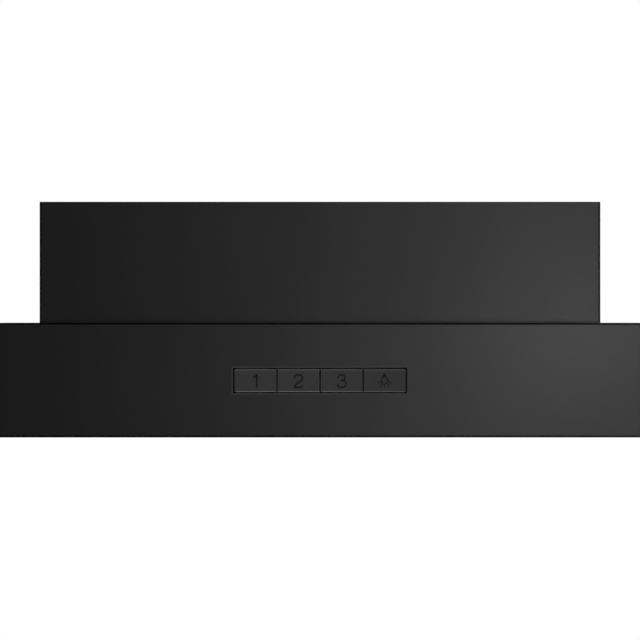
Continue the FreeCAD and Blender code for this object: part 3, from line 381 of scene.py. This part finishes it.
dress(moulded("black_moulding", 0.028, 0.5),
      "outlet_socket", "flap_front", "flap_rear", "cable_gland", "inlet_guard",
      "latch_housing_left", "latch_housing_right")
# The bezel shows in the gaps round and between the keys; its near-black grey is painted shade there.
dress(moulded("bezel_gap_shade", 0.002, 0.7), "key_bezel")
dress(moulded("grey_moulding", 0.22, 0.5, tint=0.03), "key_carrier", "electronics_box", "electronics_cover")
dress(moulded("slider_plastic", 0.04, 0.34, 4200.0, 0.00002, 1.6), "latch_slider_left", "latch_slider_right")
dress(moulded("wheel_plastic", 0.13, 0.55), "impeller")
dress(moulded("switch_plastic", 0.03, 0.4), "tact_switches")
dress(moulded("terminal_plastic", 0.7, 0.35), "terminal_block")
dress(moulded("bush_rubber", 0.022, 0.8, 1500.0, 0.0001), "motor_bushes", "outlet_gasket")
dress(moulded("cable_sheath", 0.035, 0.5, 3000.0), "lead_control", "lead_motor", "lead_lamps")

# %% [markdown]
# ## The keys
# The keys are moulded in a slightly lighter, finer-grained black than the sheet. The light falls off along
# the panel, so their base colour is painted from light at the left to dark at the right. This painted
# counter-shading keeps them evenly bright from the first to the last, and the grey of their edge bands runs
# the same way. The upper edge carries a wide, faint band of painted highlight and the lower edge a narrow,
# strong one. Both bands are masks of the distance in from the edge.

# %% Key plastic
# The tilt spreads the painted counter-shading of the keys' base colour. The band strengths and the edge grey
# set the painted highlights along the keys' edges.
KEY_GREY = 0.0425
KEY_TILT = 0.18
KEY_HALF_H = STRIP_HALF_H - 1.05 * MM
UPPER_BAND, LOWER_BAND = 1.0 * MM, 0.6 * MM
UPPER_HIGHLIGHT, LOWER_HIGHLIGHT = 0.27, 1.0
HIGHLIGHT_GREY, HIGHLIGHT_TILT = 0.2, 0.085


def key_plastic():
    s = Shader("key_plastic")
    x, _, z = s.parts(s.place())
    height = z - strip.z
    inward = KEY_HALF_H - abs(height)
    # Painted highlight: a wide, faint band along the upper edge and a narrow, strong one along the lower.
    upper = (1.6 - inward / UPPER_BAND).clamped() * UPPER_HIGHLIGHT
    lower = (1.5 - inward / LOWER_BAND).clamped() * LOWER_HIGHLIGHT
    on_top = height.above(0.0)
    edge_highlight = upper * on_top + lower * (1.0 - on_top)
    # Painted counter-shading: the base colour runs from light at the left to dark at the right, against the
    # fall of the light.
    along = (0.5 - x / (2 * STRIP_HALF_W)).clamped()
    half = KEY_TILT * STRIP_HALF_W
    base_against_light = s.ramp(along, [(0.0, grey(KEY_GREY - half)), (1.0, grey(KEY_GREY + half))])
    flow = s.noise(35.0, 3.0)
    body = s.blend(flow * 0.12, base_against_light, grey(0.02))
    # The grey of the painted edge highlight runs the same way.
    highlight_colour = s.ramp(along, [(0.0, grey(HIGHLIGHT_GREY - HIGHLIGHT_TILT)), (1.0, grey(HIGHLIGHT_GREY + HIGHLIGHT_TILT))])
    colour = s.blend(edge_highlight, body, highlight_colour)
    return s.surface(Base_Color=colour, Roughness=s.noise(90.0, 3.0) * 0.08 + 0.32, IOR=1.6,
                     Normal=s.bump(s.noise(5200.0, 2.0, 0.6), 0.35, 0.00002))


dress(key_plastic(), "key_speed_1", "key_speed_2", "key_speed_3", "key_light")

# %% [markdown]
# ## Metals
# Bare metals show how they were worked. Galvanised sheet has a spangle of zinc crystals, which are cells
# that each reflect a little differently. Rolled and drawn aluminium has fine lines along the way it was
# drawn. Turned pieces have rings round their axis. Each look is one short function.

# %% Galvanised sheet
def galvanised(name):
    s = Shader(name)
    crystal = s.cells(140.0)
    colour = s.ramp(crystal, [(0.2, grey(0.48, 0.02)), (0.8, grey(0.62, 0.02))])
    red, _, _ = s.parts(crystal)
    roughness = red * 0.16 + s.noise(30.0, 3.0) * 0.08 + 0.3
    return s.surface(Base_Color=colour, Metallic=1.0, Roughness=roughness,
                     Normal=s.bump(s.noise(900.0, 2.0), 0.1, 0.00005))


dress(galvanised("galvanised_sheet"), "hanger_brackets", "panel_brackets", "scroll_left", "scroll_right",
      "motor_spider")


# %% Drawn, turned and plain metals
def drawn(name, base, rough, along, fine=2400.0, tint=0.01):
    """Metal with fine lines along one axis: 0, 1 or 2."""
    s = Shader(name)
    squeeze = tuple(0.02 if axis == along else 1.0 for axis in range(3))
    lines = s.noise(fine, 3.0, 0.6, at=s.stretched(squeeze))
    colour = s.ramp(lines, [(0.3, grey(base * 0.9, tint)), (0.7, grey(base * 1.08, tint))])
    roughness = lines * 0.14 + s.noise(40.0, 3.0) * 0.08 + (rough - 0.1)
    return s.surface(Base_Color=colour, Metallic=1.0, Roughness=roughness,
                     Normal=s.bump(lines, 0.25, 0.00003))


def turned(name, base, rough, axis_point, pitch=0.0004):
    """Metal with lathe rings about an upright axis through a point."""
    s = Shader(name)
    rings = (s.reach(axis_point) * (2 * math.pi / pitch)).maths("SINE") * 0.5 + s.noise(500.0, 2.0) * 0.6
    colour = s.ramp(s.noise(50.0, 3.0), [(0.3, grey(base * 0.92)), (0.7, grey(base * 1.05))])
    return s.surface(Base_Color=colour, Metallic=1.0, Roughness=rings * 0.05 + rough,
                     Normal=s.bump(rings, 0.3, 0.00002))


dress(drawn("bright_steel", 0.55, 0.3, 0), "flap_pin", "motor_shaft", "blower_screws",
      "latch_spring_left", "latch_spring_right")
dress(drawn("black_oxide", 0.09, 0.38, 2, tint=0.03), "body_screws", "casing_screws")
dress(drawn("cast_aluminium", 0.38, 0.5, 0, 900.0), "motor_body")
dress(drawn("capacitor_can", 0.66, 0.35, 0), "run_capacitor")
dress(drawn("heat_sink", 0.6, 0.42, 2), "lamp_heatsinks")
for side in ("left", "right"):
    dress(turned(f"lamp_ring_metal_{side}", 0.55, 0.26, middle(f"lamp_ring_{side}")), f"lamp_ring_{side}")

# %% [markdown]
# ## Filter frames
# Each filter's frame is four lengths of rolled aluminium channel, cut at 45 degrees at the corners. The
# rolling lines run along each rail, so the lines turn at the corner. The mask below is one on the two side
# rails: there the distance to the nearer side edge is less than the distance to the nearer front or back
# edge.

# %% Rolled aluminium with mitred corners
def mitred(name, node):
    s = Shader(name)
    centre, half = middle(node), (high(node) - low(node)) / 2
    x, y, _ = s.parts(s.place())
    to_side = half.x - abs(x - centre.x)
    to_end = half.y - abs(y - centre.y)
    side_rail = to_end.above(to_side)
    across = s.noise(1900.0, 3.0, 0.6, at=s.stretched((0.02, 1.0, 1.0)))
    along = s.noise(1900.0, 3.0, 0.6, at=s.stretched((1.0, 0.02, 1.0)))
    lines = across + side_rail * (along - across)
    seam = 1.0 - (abs(to_end - to_side) * 2500.0).clamped()
    colour = s.ramp(lines, [(0.3, grey(0.56, 0.01)), (0.7, grey(0.68, 0.01))])
    colour = s.blend(seam * 0.8, colour, grey(0.12))
    roughness = lines * 0.14 + s.noise(40.0, 3.0) * 0.08 + 0.24
    return s.surface(Base_Color=colour, Metallic=1.0, Roughness=roughness,
                     Normal=s.bump(lines - seam * 2.0, 0.25, 0.00004))


for side in ("left", "right"):
    dress(mitred(f"filter_rail_{side}", f"filter_frame_{side}"), f"filter_frame_{side}")

# %% [markdown]
# ## Boards and lamps
# A circuit board is a green sheet with copper tracks under its varnish. A brick pattern of thin lines
# stands for the tracks. The lamp's diffuser is opal plastic with fine moulded rings that spread its light.

# %% Boards and diffusers
def board(name):
    s = Shader(name)
    track = s.add("ShaderNodeTexBrick", {"offset": 0.37},
                  {"Vector": s.place(), "Scale": 60.0, "Mortar Size": 0.06,
                   "Brick Width": 0.7, "Row Height": 0.22}, output="Fac")
    colour = s.blend(track, (0.012, 0.10, 0.045, 1.0), (0.03, 0.2, 0.08, 1.0))
    roughness = s.noise(60.0, 2.0) * 0.1 + 0.3
    return s.surface(Base_Color=colour, Roughness=roughness, Normal=s.bump(track, 0.3, 0.00005))


LENS_RING = 1.2 * MM


def diffuser(name, axis_point):
    s = Shader(name)
    rings = (s.reach(axis_point) * (2 * math.pi / LENS_RING)).maths("SINE")
    colour = s.ramp(s.noise(40.0, 2.0), [(0.3, (0.80, 0.80, 0.77, 1.0)), (0.7, (0.86, 0.86, 0.84, 1.0))])
    return s.surface(Base_Color=colour, Roughness=s.noise(80.0, 2.0) * 0.06 + 0.2,
                     Normal=s.bump(rings, 0.35, 0.00012), Subsurface_Weight=0.15, Subsurface_Scale=0.002)


dress(board("circuit_board"), "power_board", "control_board")
for side in ("left", "right"):
    dress(diffuser(f"opal_{side}", middle(f"lamp_lens_{side}")), f"lamp_lens_{side}")

# %% [markdown]
# ## Tools for making new pieces
# New pieces are modelled as by hand: add a primitive, go into edit mode, choose faces by where they are,
# and push them about. An operator works on everything selected, so each step starts by clearing the
# selection.

# %% Modelling helpers
def nothing_selected():
    """Leaves edit mode and clears the selection."""
    if bpy.context.object and bpy.context.object.mode != "OBJECT":
        bpy.ops.object.mode_set(mode="OBJECT")
    bpy.ops.object.select_all(action="DESELECT")


def work_on(item):
    """Makes one object the only selected and active one."""
    nothing_selected()
    item.select_set(True)
    bpy.context.view_layer.objects.active = item
    return item


def named(name):
    """Names the object that an operator has just added."""
    item = bpy.context.object
    item.name = name
    item.data.name = name
    return item


def choose_faces(item, test):
    """In edit mode, selects only the faces that a test accepts."""
    bpy.ops.mesh.select_all(action="DESELECT")
    mesh = bmesh.from_edit_mesh(item.data)
    for face in mesh.faces:
        if test(face):
            face.select_set(True)
    mesh.select_flush_mode()
    bmesh.update_edit_mesh(item.data)


def settle(item):
    """Puts an object's place, turn and size into its mesh."""
    work_on(item)
    bpy.ops.object.transform_apply(location=True, rotation=True, scale=True)
    return item


def apply_all(item):
    """Applies every modifier."""
    work_on(item)
    for modifier in list(item.modifiers):
        bpy.ops.object.modifier_apply(modifier=modifier.name)
    return item


def join(items, name):
    """Joins pieces into one named object."""
    nothing_selected()
    for item in items:
        item.select_set(True)
    bpy.context.view_layer.objects.active = items[0]
    bpy.ops.object.join()
    return named(name)


def finish_piece(item, material, body):
    """Gives a new piece its material and its body."""
    item.data.materials.clear()
    item.data.materials.append(material)
    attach(item, body)
    print(item.name, "rides on", body, "with", len(item.data.polygons), "faces")
    return item


# %% [markdown]
# ## Marks on the keys
# The keys carry plain printed marks: 1, 2, 3 and a ceiling lamp with rays. A printed mark is a flat stroke
# of one width, so each mark is drawn as a few lines with a round bevel, made into a mesh and pressed nearly
# flat. A letter from a font would bring its own style and heavy strokes, while four short drawings give the
# thin strokes of the real print.

# %% Strokes for the marks, in millimetres from the key's centre
STROKE = 1.6
MARK_DROP = 0.55
PRINT_THICKNESS = 0.02
MARKS = {
    "key_speed_1": [
        ("straight", [(1.35, 6.35), (1.35, -6.35)]),
        ("smooth", [(-2.35, 3.75), (0.35, 4.35), (1.2, 6.0)]),
    ],
    "key_speed_2": [
        ("smooth", [(-3.75, 2.35), (-2.9, 4.9), (0.05, 5.75), (3.0, 4.8), (3.65, 2.5), (2.2, 0.0),
                    (-0.9, -2.0), (-3.2, -4.0), (-3.85, -5.75)]),
        ("straight", [(-4.3, -5.75), (4.2, -5.75)]),
    ],
    "key_speed_3": [
        ("smooth", [(-3.7, 3.0), (-2.7, 5.0), (0.0, 5.75), (2.75, 4.9), (3.3, 3.1), (2.4, 1.2), (-0.6, 0.5)]),
        ("smooth", [(-0.55, 0.5), (2.5, 0.0), (3.9, -2.4), (2.9, -4.9), (0.0, -5.75), (-3.0, -4.9),
                    (-3.95, -2.8)]),
    ],
}
THIN_STROKE = 1.35
LAMP_MARK = [
    ("straight", [(-1.0, 6.4), (1.0, 6.4)]),
    ("straight", [(-1.5, 5.4), (1.5, 5.4)]),
    ("straight", [(-1.8, 4.5), (1.8, 4.5)]),
    ("loop", [(0.0, 3.7), (2.1, 2.8), (2.9, 0.5), (2.1, -1.9), (0.0, -2.9), (-2.1, -1.9), (-2.9, 0.5),
              (-2.1, 2.8)]),
    ("straight", [(-6.5, -1.7), (-4.1, -0.9)]),
    ("straight", [(6.5, -1.7), (4.1, -0.9)]),
    ("straight", [(-4.3, -5.3), (-2.8, -3.6)]),
    ("straight", [(4.3, -5.3), (2.8, -3.6)]),
    ("straight", [(0.0, -4.1), (0.0, -6.2)]),
]
print(len(MARKS), "digits and a lamp of", len(LAMP_MARK), "strokes")


# %% Drawing a mark
def mark(name, strokes, width, key):
    """Draws strokes as one flat print on a key's face."""
    curve = bpy.data.curves.new(name, "CURVE")
    curve.dimensions = "3D"
    curve.bevel_depth = width / 2 * MM
    curve.bevel_resolution = 2
    curve.resolution_u = 6
    curve.use_fill_caps = True
    for kind, points in strokes:
        spline = curve.splines.new("BEZIER")
        spline.bezier_points.add(len(points) - 1)
        spline.use_cyclic_u = kind == "loop"
        handle = "VECTOR" if kind == "straight" else "AUTO"
        for point, (x, z) in zip(spline.bezier_points, points):
            point.co = (x * MM, 0.0, z * MM)
            point.handle_left_type = handle
            point.handle_right_type = handle
    item = bpy.data.objects.new(name, curve)
    bpy.context.scene.collection.objects.link(item)
    work_on(item)
    bpy.ops.object.convert(target="MESH")
    item = named(name)
    bpy.ops.object.mode_set(mode="EDIT")
    bpy.ops.mesh.select_all(action="SELECT")
    bpy.ops.mesh.remove_doubles(threshold=1e-6)
    bpy.ops.transform.resize(value=(1.0, PRINT_THICKNESS / width, 1.0), center_override=(0, 0, 0))
    bpy.ops.mesh.normals_make_consistent(inside=False)
    bpy.ops.object.mode_set(mode="OBJECT")
    centre = middle(key)
    item.location = (centre.x, low(key).y, centre.z - MARK_DROP * MM)
    return settle(item)


# %% Printing the four keys
def printed(name):
    """Matt black print."""
    s = Shader(name)
    colour = s.ramp(s.noise(800.0, 2.0), [(0.3, grey(0.009)), (0.7, grey(0.013))])
    return s.surface(Base_Color=colour, Roughness=s.noise(200.0, 2.0) * 0.1 + 0.5)


ink = printed("key_print")
for key, strokes in MARKS.items():
    finish_piece(mark(key.replace("key_", "mark_"), strokes, STROKE, key), ink, key)
finish_piece(mark("mark_light", LAMP_MARK, THIN_STROKE, "key_light"), ink, "key_light")

# %% [markdown]
# ## Countersunk screws
# The body's sheets are held by small black countersunk screws. The CAD model gives each one its place, cone
# and shank, and what it leaves out is the cross recess that a driver fits. One screw is modelled along Z: a
# thin cylinder whose top face is extruded outwards into the head, then two thin blocks are cut from it with
# a Boolean modifier. A copy of the CAD node, split into its loose solids, tells where each screw stands and
# which way it points, so a copy of the modelled screw can be turned and moved there.

# %% Where the screws are
SHANK_R, HEAD_R, HEAD_H, SCREW_L = 1.5 * MM, 3.0 * MM, 1.5 * MM, 6.0 * MM
HEAD_RIM = 0.15 * MM
RECESS_LONG, RECESS_WIDE, RECESS_DEEP = 3.2 * MM, 0.75 * MM, 2.0 * MM


def loose_boxes(name):
    """Corners of each separate solid in a CAD node, measured on a copy."""
    copy = bpy.data.objects.new("measure", NODES[name].data.copy())
    bpy.context.scene.collection.objects.link(copy)
    work_on(copy)
    bpy.ops.object.mode_set(mode="EDIT")
    bpy.ops.mesh.select_all(action="SELECT")
    bpy.ops.mesh.remove_doubles(threshold=1e-6)
    bpy.ops.mesh.separate(type="LOOSE")
    bpy.ops.object.mode_set(mode="OBJECT")
    corners = []
    for item in list(bpy.context.selected_objects):
        spots = [vert.co for vert in item.data.vertices]
        corners.append([Vector(end(spot[axis] for spot in spots) for axis in range(3)) for end in (min, max)])
        bpy.data.objects.remove(item)
    return corners


def screw_place(a, b):
    """The head's middle and the way that it faces, for a screw that points into the hood."""
    centre, size = (a + b) / 2, b - a
    axis = max(range(3), key=lambda k: size[k])
    out = Vector((0, 0, 0))
    out[axis] = 1.0 if centre[axis] > 0 else -1.0
    return centre + out * (size[axis] / 2), out


SCREWS = [screw_place(a, b) for a, b in loose_boxes("body_screws")]
print(len(SCREWS), "countersunk screws")


# %% One screw, and its copies
def recess_cutter():
    """Two crossed blocks that sink into the head."""
    nothing_selected()
    blocks = []
    for size in ((RECESS_LONG, RECESS_WIDE, RECESS_DEEP), (RECESS_WIDE, RECESS_LONG, RECESS_DEEP)):
        bpy.ops.mesh.primitive_cube_add(size=1.0, location=(0, 0, 0))
        block = named("cross_block")
        block.scale = size
        blocks.append(settle(block))
    return blocks


def countersunk_screw():
    """A screw along Z whose head is flush with z = 0."""
    nothing_selected()
    bpy.ops.mesh.primitive_cylinder_add(vertices=32, radius=SHANK_R, depth=SCREW_L - HEAD_H,
                                        location=(0, 0, -(SCREW_L + HEAD_H) / 2))
    screw = settle(named("screw"))
    bpy.ops.object.mode_set(mode="EDIT")
    choose_faces(screw, lambda face: face.normal.z > 0.9)
    bpy.ops.mesh.extrude_region_move(TRANSFORM_OT_translate={"value": (0, 0, HEAD_H - HEAD_RIM)})
    bpy.ops.transform.resize(value=(HEAD_R / SHANK_R,) * 2 + (1.0,), center_override=(0, 0, 0))
    bpy.ops.mesh.extrude_region_move(TRANSFORM_OT_translate={"value": (0, 0, HEAD_RIM)})
    bpy.ops.object.mode_set(mode="OBJECT")
    for block in recess_cutter():
        cut = screw.modifiers.new("recess", "BOOLEAN")
        cut.operation, cut.object = "DIFFERENCE", block
        apply_all(screw)
        bpy.data.objects.remove(block)
    return screw


def place_copies(first, places, name):
    """Turned copies of a piece, one at each place, joined under one name."""
    copies = []
    for spot, out in places:
        item = bpy.data.objects.new(name, first.data.copy())
        bpy.context.scene.collection.objects.link(item)
        item.matrix_world = Matrix.Translation(spot) @ out.to_track_quat("Z", "Y").to_matrix().to_4x4()
        copies.append(settle(item))
    bpy.data.objects.remove(first)
    return join(copies, name)


screws = place_copies(countersunk_screw(), SCREWS, "recessed_screws")
finish_piece(screws, drawn("screw_black", 0.10, 0.34, 2, tint=0.03), "housing")
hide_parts("body_screws")

# %% [markdown]
# ## Grip ridges
# The finger tab of each filter latch has three small ridges across it, so that a greasy thumb doesn't slip.
# A block is bevelled all round to a soft bar, and an Array modifier repeats it up the tab.

# %% Ridges on the finger tabs
RIDGE = (19.0 * MM, 0.7 * MM, 0.7 * MM)
RIDGE_PITCH = 1.25 * MM
RIDGE_ROUND = 0.25 * MM
TAB_FRONT, TAB_RISE = 11.5 * MM, 1.3 * MM


def grip_ridges(side):
    """Three soft bars on the front of one finger tab."""
    a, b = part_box(f"latch_slider_{side}")
    nothing_selected()
    bpy.ops.mesh.primitive_cube_add(size=1.0, location=((a.x + b.x) / 2, a.y + TAB_FRONT, a.z + TAB_RISE))
    ridges = named(f"grip_ridges_{side}")
    ridges.scale = RIDGE
    settle(ridges)
    bpy.ops.object.mode_set(mode="EDIT")
    bpy.ops.mesh.select_all(action="SELECT")
    bpy.ops.mesh.bevel(offset=RIDGE_ROUND, segments=3, affect="EDGES")
    bpy.ops.object.mode_set(mode="OBJECT")
    repeat = ridges.modifiers.new("repeat", "ARRAY")
    repeat.count, repeat.use_relative_offset, repeat.use_constant_offset = 3, False, True
    repeat.constant_offset_displace = (0, 0, RIDGE_PITCH)
    return apply_all(ridges)


ridge_plastic = moulded("ridge_plastic", 0.045, 0.3, 4200.0, 0.00002, 1.6)
for side in ("left", "right"):
    finish_piece(grip_ridges(side), ridge_plastic, f"latch_{side}")

# %% [markdown]
# ## Expanded metal
# A grease filter is a pack of expanded aluminium: sheet that is slit in rows and pulled, so that each slit
# opens to a diamond and the strands between stand on edge. A flat grid becomes that lattice in three moves:
# poke every face, dissolve the old edges so that only diagonals are left, and lift every second crossing. A
# Wireframe modifier then gives each strand its thickness. The pack has a coarse outer layer on each side
# and a crumpled core between them that hides the inside.

# %% A flat sheet with a notch for the latch
NOTCH_GAP = 0.5 * MM


def flat_grid(name, columns, rows, across, along):
    """A flat grid of faces round the origin, left in edit mode with everything selected."""
    nothing_selected()
    bpy.ops.mesh.primitive_grid_add(x_subdivisions=columns, y_subdivisions=rows, size=1.0)
    item = named(name)
    bpy.ops.object.mode_set(mode="EDIT")
    bpy.ops.mesh.select_all(action="SELECT")
    bpy.ops.transform.resize(value=(across, along, 1.0), center_override=(0, 0, 0))
    return item


def notch(item, side):
    """Cuts a sheet away where the latch housing stands."""
    a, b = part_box(f"latch_housing_{side}")
    first, last, back = a.x - NOTCH_GAP, b.x + NOTCH_GAP, b.y + NOTCH_GAP

    def in_the_way(face):
        point = face.calc_center_median()
        return first < point.x < last and point.y < back

    bpy.ops.object.mode_set(mode="EDIT")
    bpy.ops.mesh.select_mode(type="FACE")
    choose_faces(item, in_the_way)
    bpy.ops.mesh.delete(type="FACE")
    bpy.ops.object.mode_set(mode="OBJECT")


# %% One layer of expanded metal
DIAMOND_W, DIAMOND_H = 7.2 * MM, 4.4 * MM
STRAND = 1.0 * MM
LIFT = 0.5 * MM
LAYER_INSET = 0.5 * MM


def expanded_layer(name, side, height):
    """A diamond lattice across one filter, at one height."""
    a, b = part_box(f"filter_mesh_{side}")
    across, along = b.x - a.x - 2 * LAYER_INSET, b.y - a.y - 2 * LAYER_INSET
    columns, rows = round(across / DIAMOND_W), round(along / DIAMOND_H)
    item = flat_grid(name, columns, rows, across, along)
    bpy.ops.mesh.poke()
    mesh = bmesh.from_edit_mesh(item.data)
    bpy.ops.mesh.select_mode(type="EDGE")
    bpy.ops.mesh.select_all(action="DESELECT")
    for edge in mesh.edges:
        step = edge.verts[0].co - edge.verts[1].co
        square = abs(step.x) < 1e-6 or abs(step.y) < 1e-6
        edge.select_set(square and len(edge.link_faces) == 2)
    bmesh.update_edit_mesh(item.data)
    bpy.ops.mesh.dissolve_edges(use_verts=False, use_face_split=False)
    bpy.ops.mesh.select_mode(type="VERT")
    bpy.ops.mesh.select_all(action="DESELECT")
    mesh = bmesh.from_edit_mesh(item.data)
    for vert in mesh.verts:
        column = (vert.co.x / across + 0.5) * columns
        vert.select_set(abs(column - round(column)) > 0.25)
    bmesh.update_edit_mesh(item.data)
    bpy.ops.transform.translate(value=(0, 0, LIFT))
    bpy.ops.object.mode_set(mode="OBJECT")
    centre = (a + b) / 2
    item.location = (centre.x, centre.y, height - LIFT / 2)
    notch(settle(item), side)
    wire = item.modifiers.new("strands", "WIREFRAME")
    wire.thickness = STRAND
    wire.use_even_offset = False
    wire.use_boundary = True
    return apply_all(item)


# %% [markdown]
# The core is one more sheet, crushed instead of pulled. A Displace modifier pushes a fine grid up and down by
# cloudy noise, and Solidify gives it a wall. It is painted almost black, as the shade inside the pack, so the
# diamonds stand out.

# %% The crumpled core
CRUMPLE = 1.3 * MM
CRUMPLE_SIZE = 8.0 * MM
CORE_INSET = 0.2 * MM
CORE_COLUMNS, CORE_ROWS = 150, 105
CORE_WALL = 0.5 * MM


def core(name, side):
    """The crumpled inner pack: a thin sheet displaced by cloudy noise, then given a wall."""
    a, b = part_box(f"filter_mesh_{side}")
    across, along = b.x - a.x - 2 * CORE_INSET, b.y - a.y - 2 * CORE_INSET
    item = flat_grid(name, CORE_COLUMNS, CORE_ROWS, across, along)
    bpy.ops.object.mode_set(mode="OBJECT")
    item.location = (a + b) / 2
    settle(item)
    clouds = bpy.data.textures.new("crumple", "CLOUDS")
    clouds.noise_scale = CRUMPLE_SIZE
    push = item.modifiers.new("crumple", "DISPLACE")
    push.texture, push.direction, push.mid_level, push.strength = clouds, "Z", 0.5, CRUMPLE
    notch(apply_all(item), side)
    wall = item.modifiers.new("wall", "SOLIDIFY")
    wall.thickness = CORE_WALL
    wall.offset = 0.0
    return apply_all(item)


# %% Both filters
def expanded_metal(name, base, rough):
    """Cut and pulled aluminium, stained a little here and there."""
    s = Shader(name)
    stain = s.noise(30.0, 4.0)
    colour = s.ramp(stain, [(0.3, grey(base * 0.85, 0.01)), (0.7, grey(base * 1.05, 0.01))])
    roughness = s.noise(400.0, 2.0) * 0.15 + (rough - 0.07)
    return s.surface(Base_Color=colour, Metallic=1.0, Roughness=roughness,
                     Normal=s.bump(s.noise(1800.0, 2.0), 0.2, 0.00004))


strands = expanded_metal("expanded_aluminium", 0.84, 0.6)
# The inner pack is painted almost black: painted shade inside the filter.
pack_shade = expanded_metal("inner_pack_shade", 0.07, 0.5)
LAYER_DEPTH = STRAND / 2 + LIFT / 2 + 0.1 * MM
for side in ("left", "right"):
    a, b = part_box(f"filter_mesh_{side}")
    lower = expanded_layer(f"mesh_lower_{side}", side, a.z + LAYER_DEPTH)
    upper = expanded_layer(f"mesh_upper_{side}", side, b.z - LAYER_DEPTH)
    pack = core(f"mesh_core_{side}", side)
    for layer in (lower, upper):
        finish_piece(layer, strands, f"filter_{side}")
    finish_piece(pack, pack_shade, f"filter_{side}")
    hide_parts(f"filter_mesh_{side}")

# %% [markdown]
# ## The room
# A plain pale floor and soft studio light. The floor lies far below, because the hood hangs from above and
# its underside is worth seeing. One soft panel of light stands close to the right half of the front, so the
# black sheet brightens smoothly from left to right and its bends fall away to dark. Other soft panels stand
# behind the line of the front, where they light the sides, back, top and underside but never the front.

# %% Floor
FLOOR_DROP = 9.0
FLOOR_HALF = 60.0
nothing_selected()
bpy.ops.mesh.primitive_plane_add(size=2 * FLOOR_HALF, location=(0, 0, CAD_BOX[0][2] - FLOOR_DROP))
floor = named("floor")
s = Shader("pale_floor")
cloud = s.noise(0.6, 3.0)
pale = s.add("ShaderNodeBsdfDiffuse", {}, {"Color": s.ramp(cloud, [(0.3, grey(0.80)), (0.7, grey(0.84))])})
bright = s.add("ShaderNodeEmission", {}, {"Color": s.ramp(cloud, [(0.3, grey(0.90)), (0.7, grey(0.93))])})
eye = s.add("ShaderNodeLightPath", output="Is Camera Ray")
both = s.add("ShaderNodeMixShader", {}, {0: eye, 1: pale, 2: bright})
s.tree.links.new(both.socket, s.output.inputs["Surface"])
floor.data.materials.append(s.material)
print("floor", round(FLOOR_DROP, 1), "m below the hood")


# %% Sky of the studio
FRONT_FILL = 0.13
ROUND_FILL = 0.035


def studio_world():
    """White to the eye, and a dim glow from the front for the light."""
    world = bpy.data.worlds.new("studio")
    bpy.context.scene.world = world
    world.use_nodes = True
    tree = world.node_tree
    tree.nodes.clear()
    new = tree.nodes.new
    out, mix, path = new("ShaderNodeOutputWorld"), new("ShaderNodeMixShader"), new("ShaderNodeLightPath")
    seen, lit, where = new("ShaderNodeBackground"), new("ShaderNodeBackground"), new("ShaderNodeTexCoord")
    split, ramp = new("ShaderNodeSeparateXYZ"), new("ShaderNodeMapRange")
    seen.inputs["Color"].default_value = (1, 1, 1, 1)
    ramp.inputs["From Min"].default_value = -0.3
    ramp.inputs["From Max"].default_value = -1.0
    ramp.inputs["To Min"].default_value = ROUND_FILL
    ramp.inputs["To Max"].default_value = FRONT_FILL
    ramp.interpolation_type = "SMOOTHSTEP"
    tree.links.new(where.outputs["Generated"], split.inputs[0])
    tree.links.new(split.outputs["Y"], ramp.inputs["Value"])
    tree.links.new(ramp.outputs[0], lit.inputs["Strength"])
    tree.links.new(path.outputs["Is Camera Ray"], mix.inputs["Fac"])
    tree.links.new(lit.outputs[0], mix.inputs[1])
    tree.links.new(seen.outputs[0], mix.inputs[2])
    tree.links.new(mix.outputs[0], out.inputs["Surface"])


studio_world()
print("front glow", FRONT_FILL, "round glow", ROUND_FILL)


# %% Lights
def soft_light(name, place, aim, size, power):
    """A rectangular panel of light that looks at a point and can't itself be seen."""
    data = bpy.data.lights.new(name, "AREA")
    data.shape = "RECTANGLE"
    data.size, data.size_y = size
    data.energy = power
    light = bpy.data.objects.new(name, data)
    bpy.context.scene.collection.objects.link(light)
    light.location = place
    light.rotation_euler = (Vector(aim) - Vector(place)).to_track_quat("-Z", "Y").to_euler()
    light.visible_camera = False
    return light


FRONT_X = 0.247
FRONT_GAP = 0.39
FRONT_Z = HOOD_MIDDLE - 4 * MM
front_light = soft_light("front_light", (FRONT_X, PANEL_FACE - FRONT_GAP, FRONT_Z),
                         (FRONT_X, PANEL_FACE, FRONT_Z), (0.12, 0.12), 2.0)
front_light.visible_glossy = False
soft_light("top_panel", (0.5, 0.5, 1.5), (0.1, 0.05, 0), (2.0, 1.0), 22.0)
soft_light("under_panel", (0.5, 0.12, -1.5), (0.1, 0.05, -0.2), (1.6, 0.45), 9.0)
soft_light("right_panel", (1.8, 1.3, 0.2), (0, 0.1, -0.1), (2.0, 1.6), 40.0)
soft_light("left_panel", (-2.0, 1.2, 0.2), (0, 0.1, -0.1), (2.0, 1.6), 28.0)
bpy.context.scene.view_settings.view_transform = "Standard"

# %% Every node has its material
bare = [name for name, item in NODES.items()
        if not item.data.materials or not item.data.materials[0].use_nodes]
print("nodes without a material of their own:", bare)
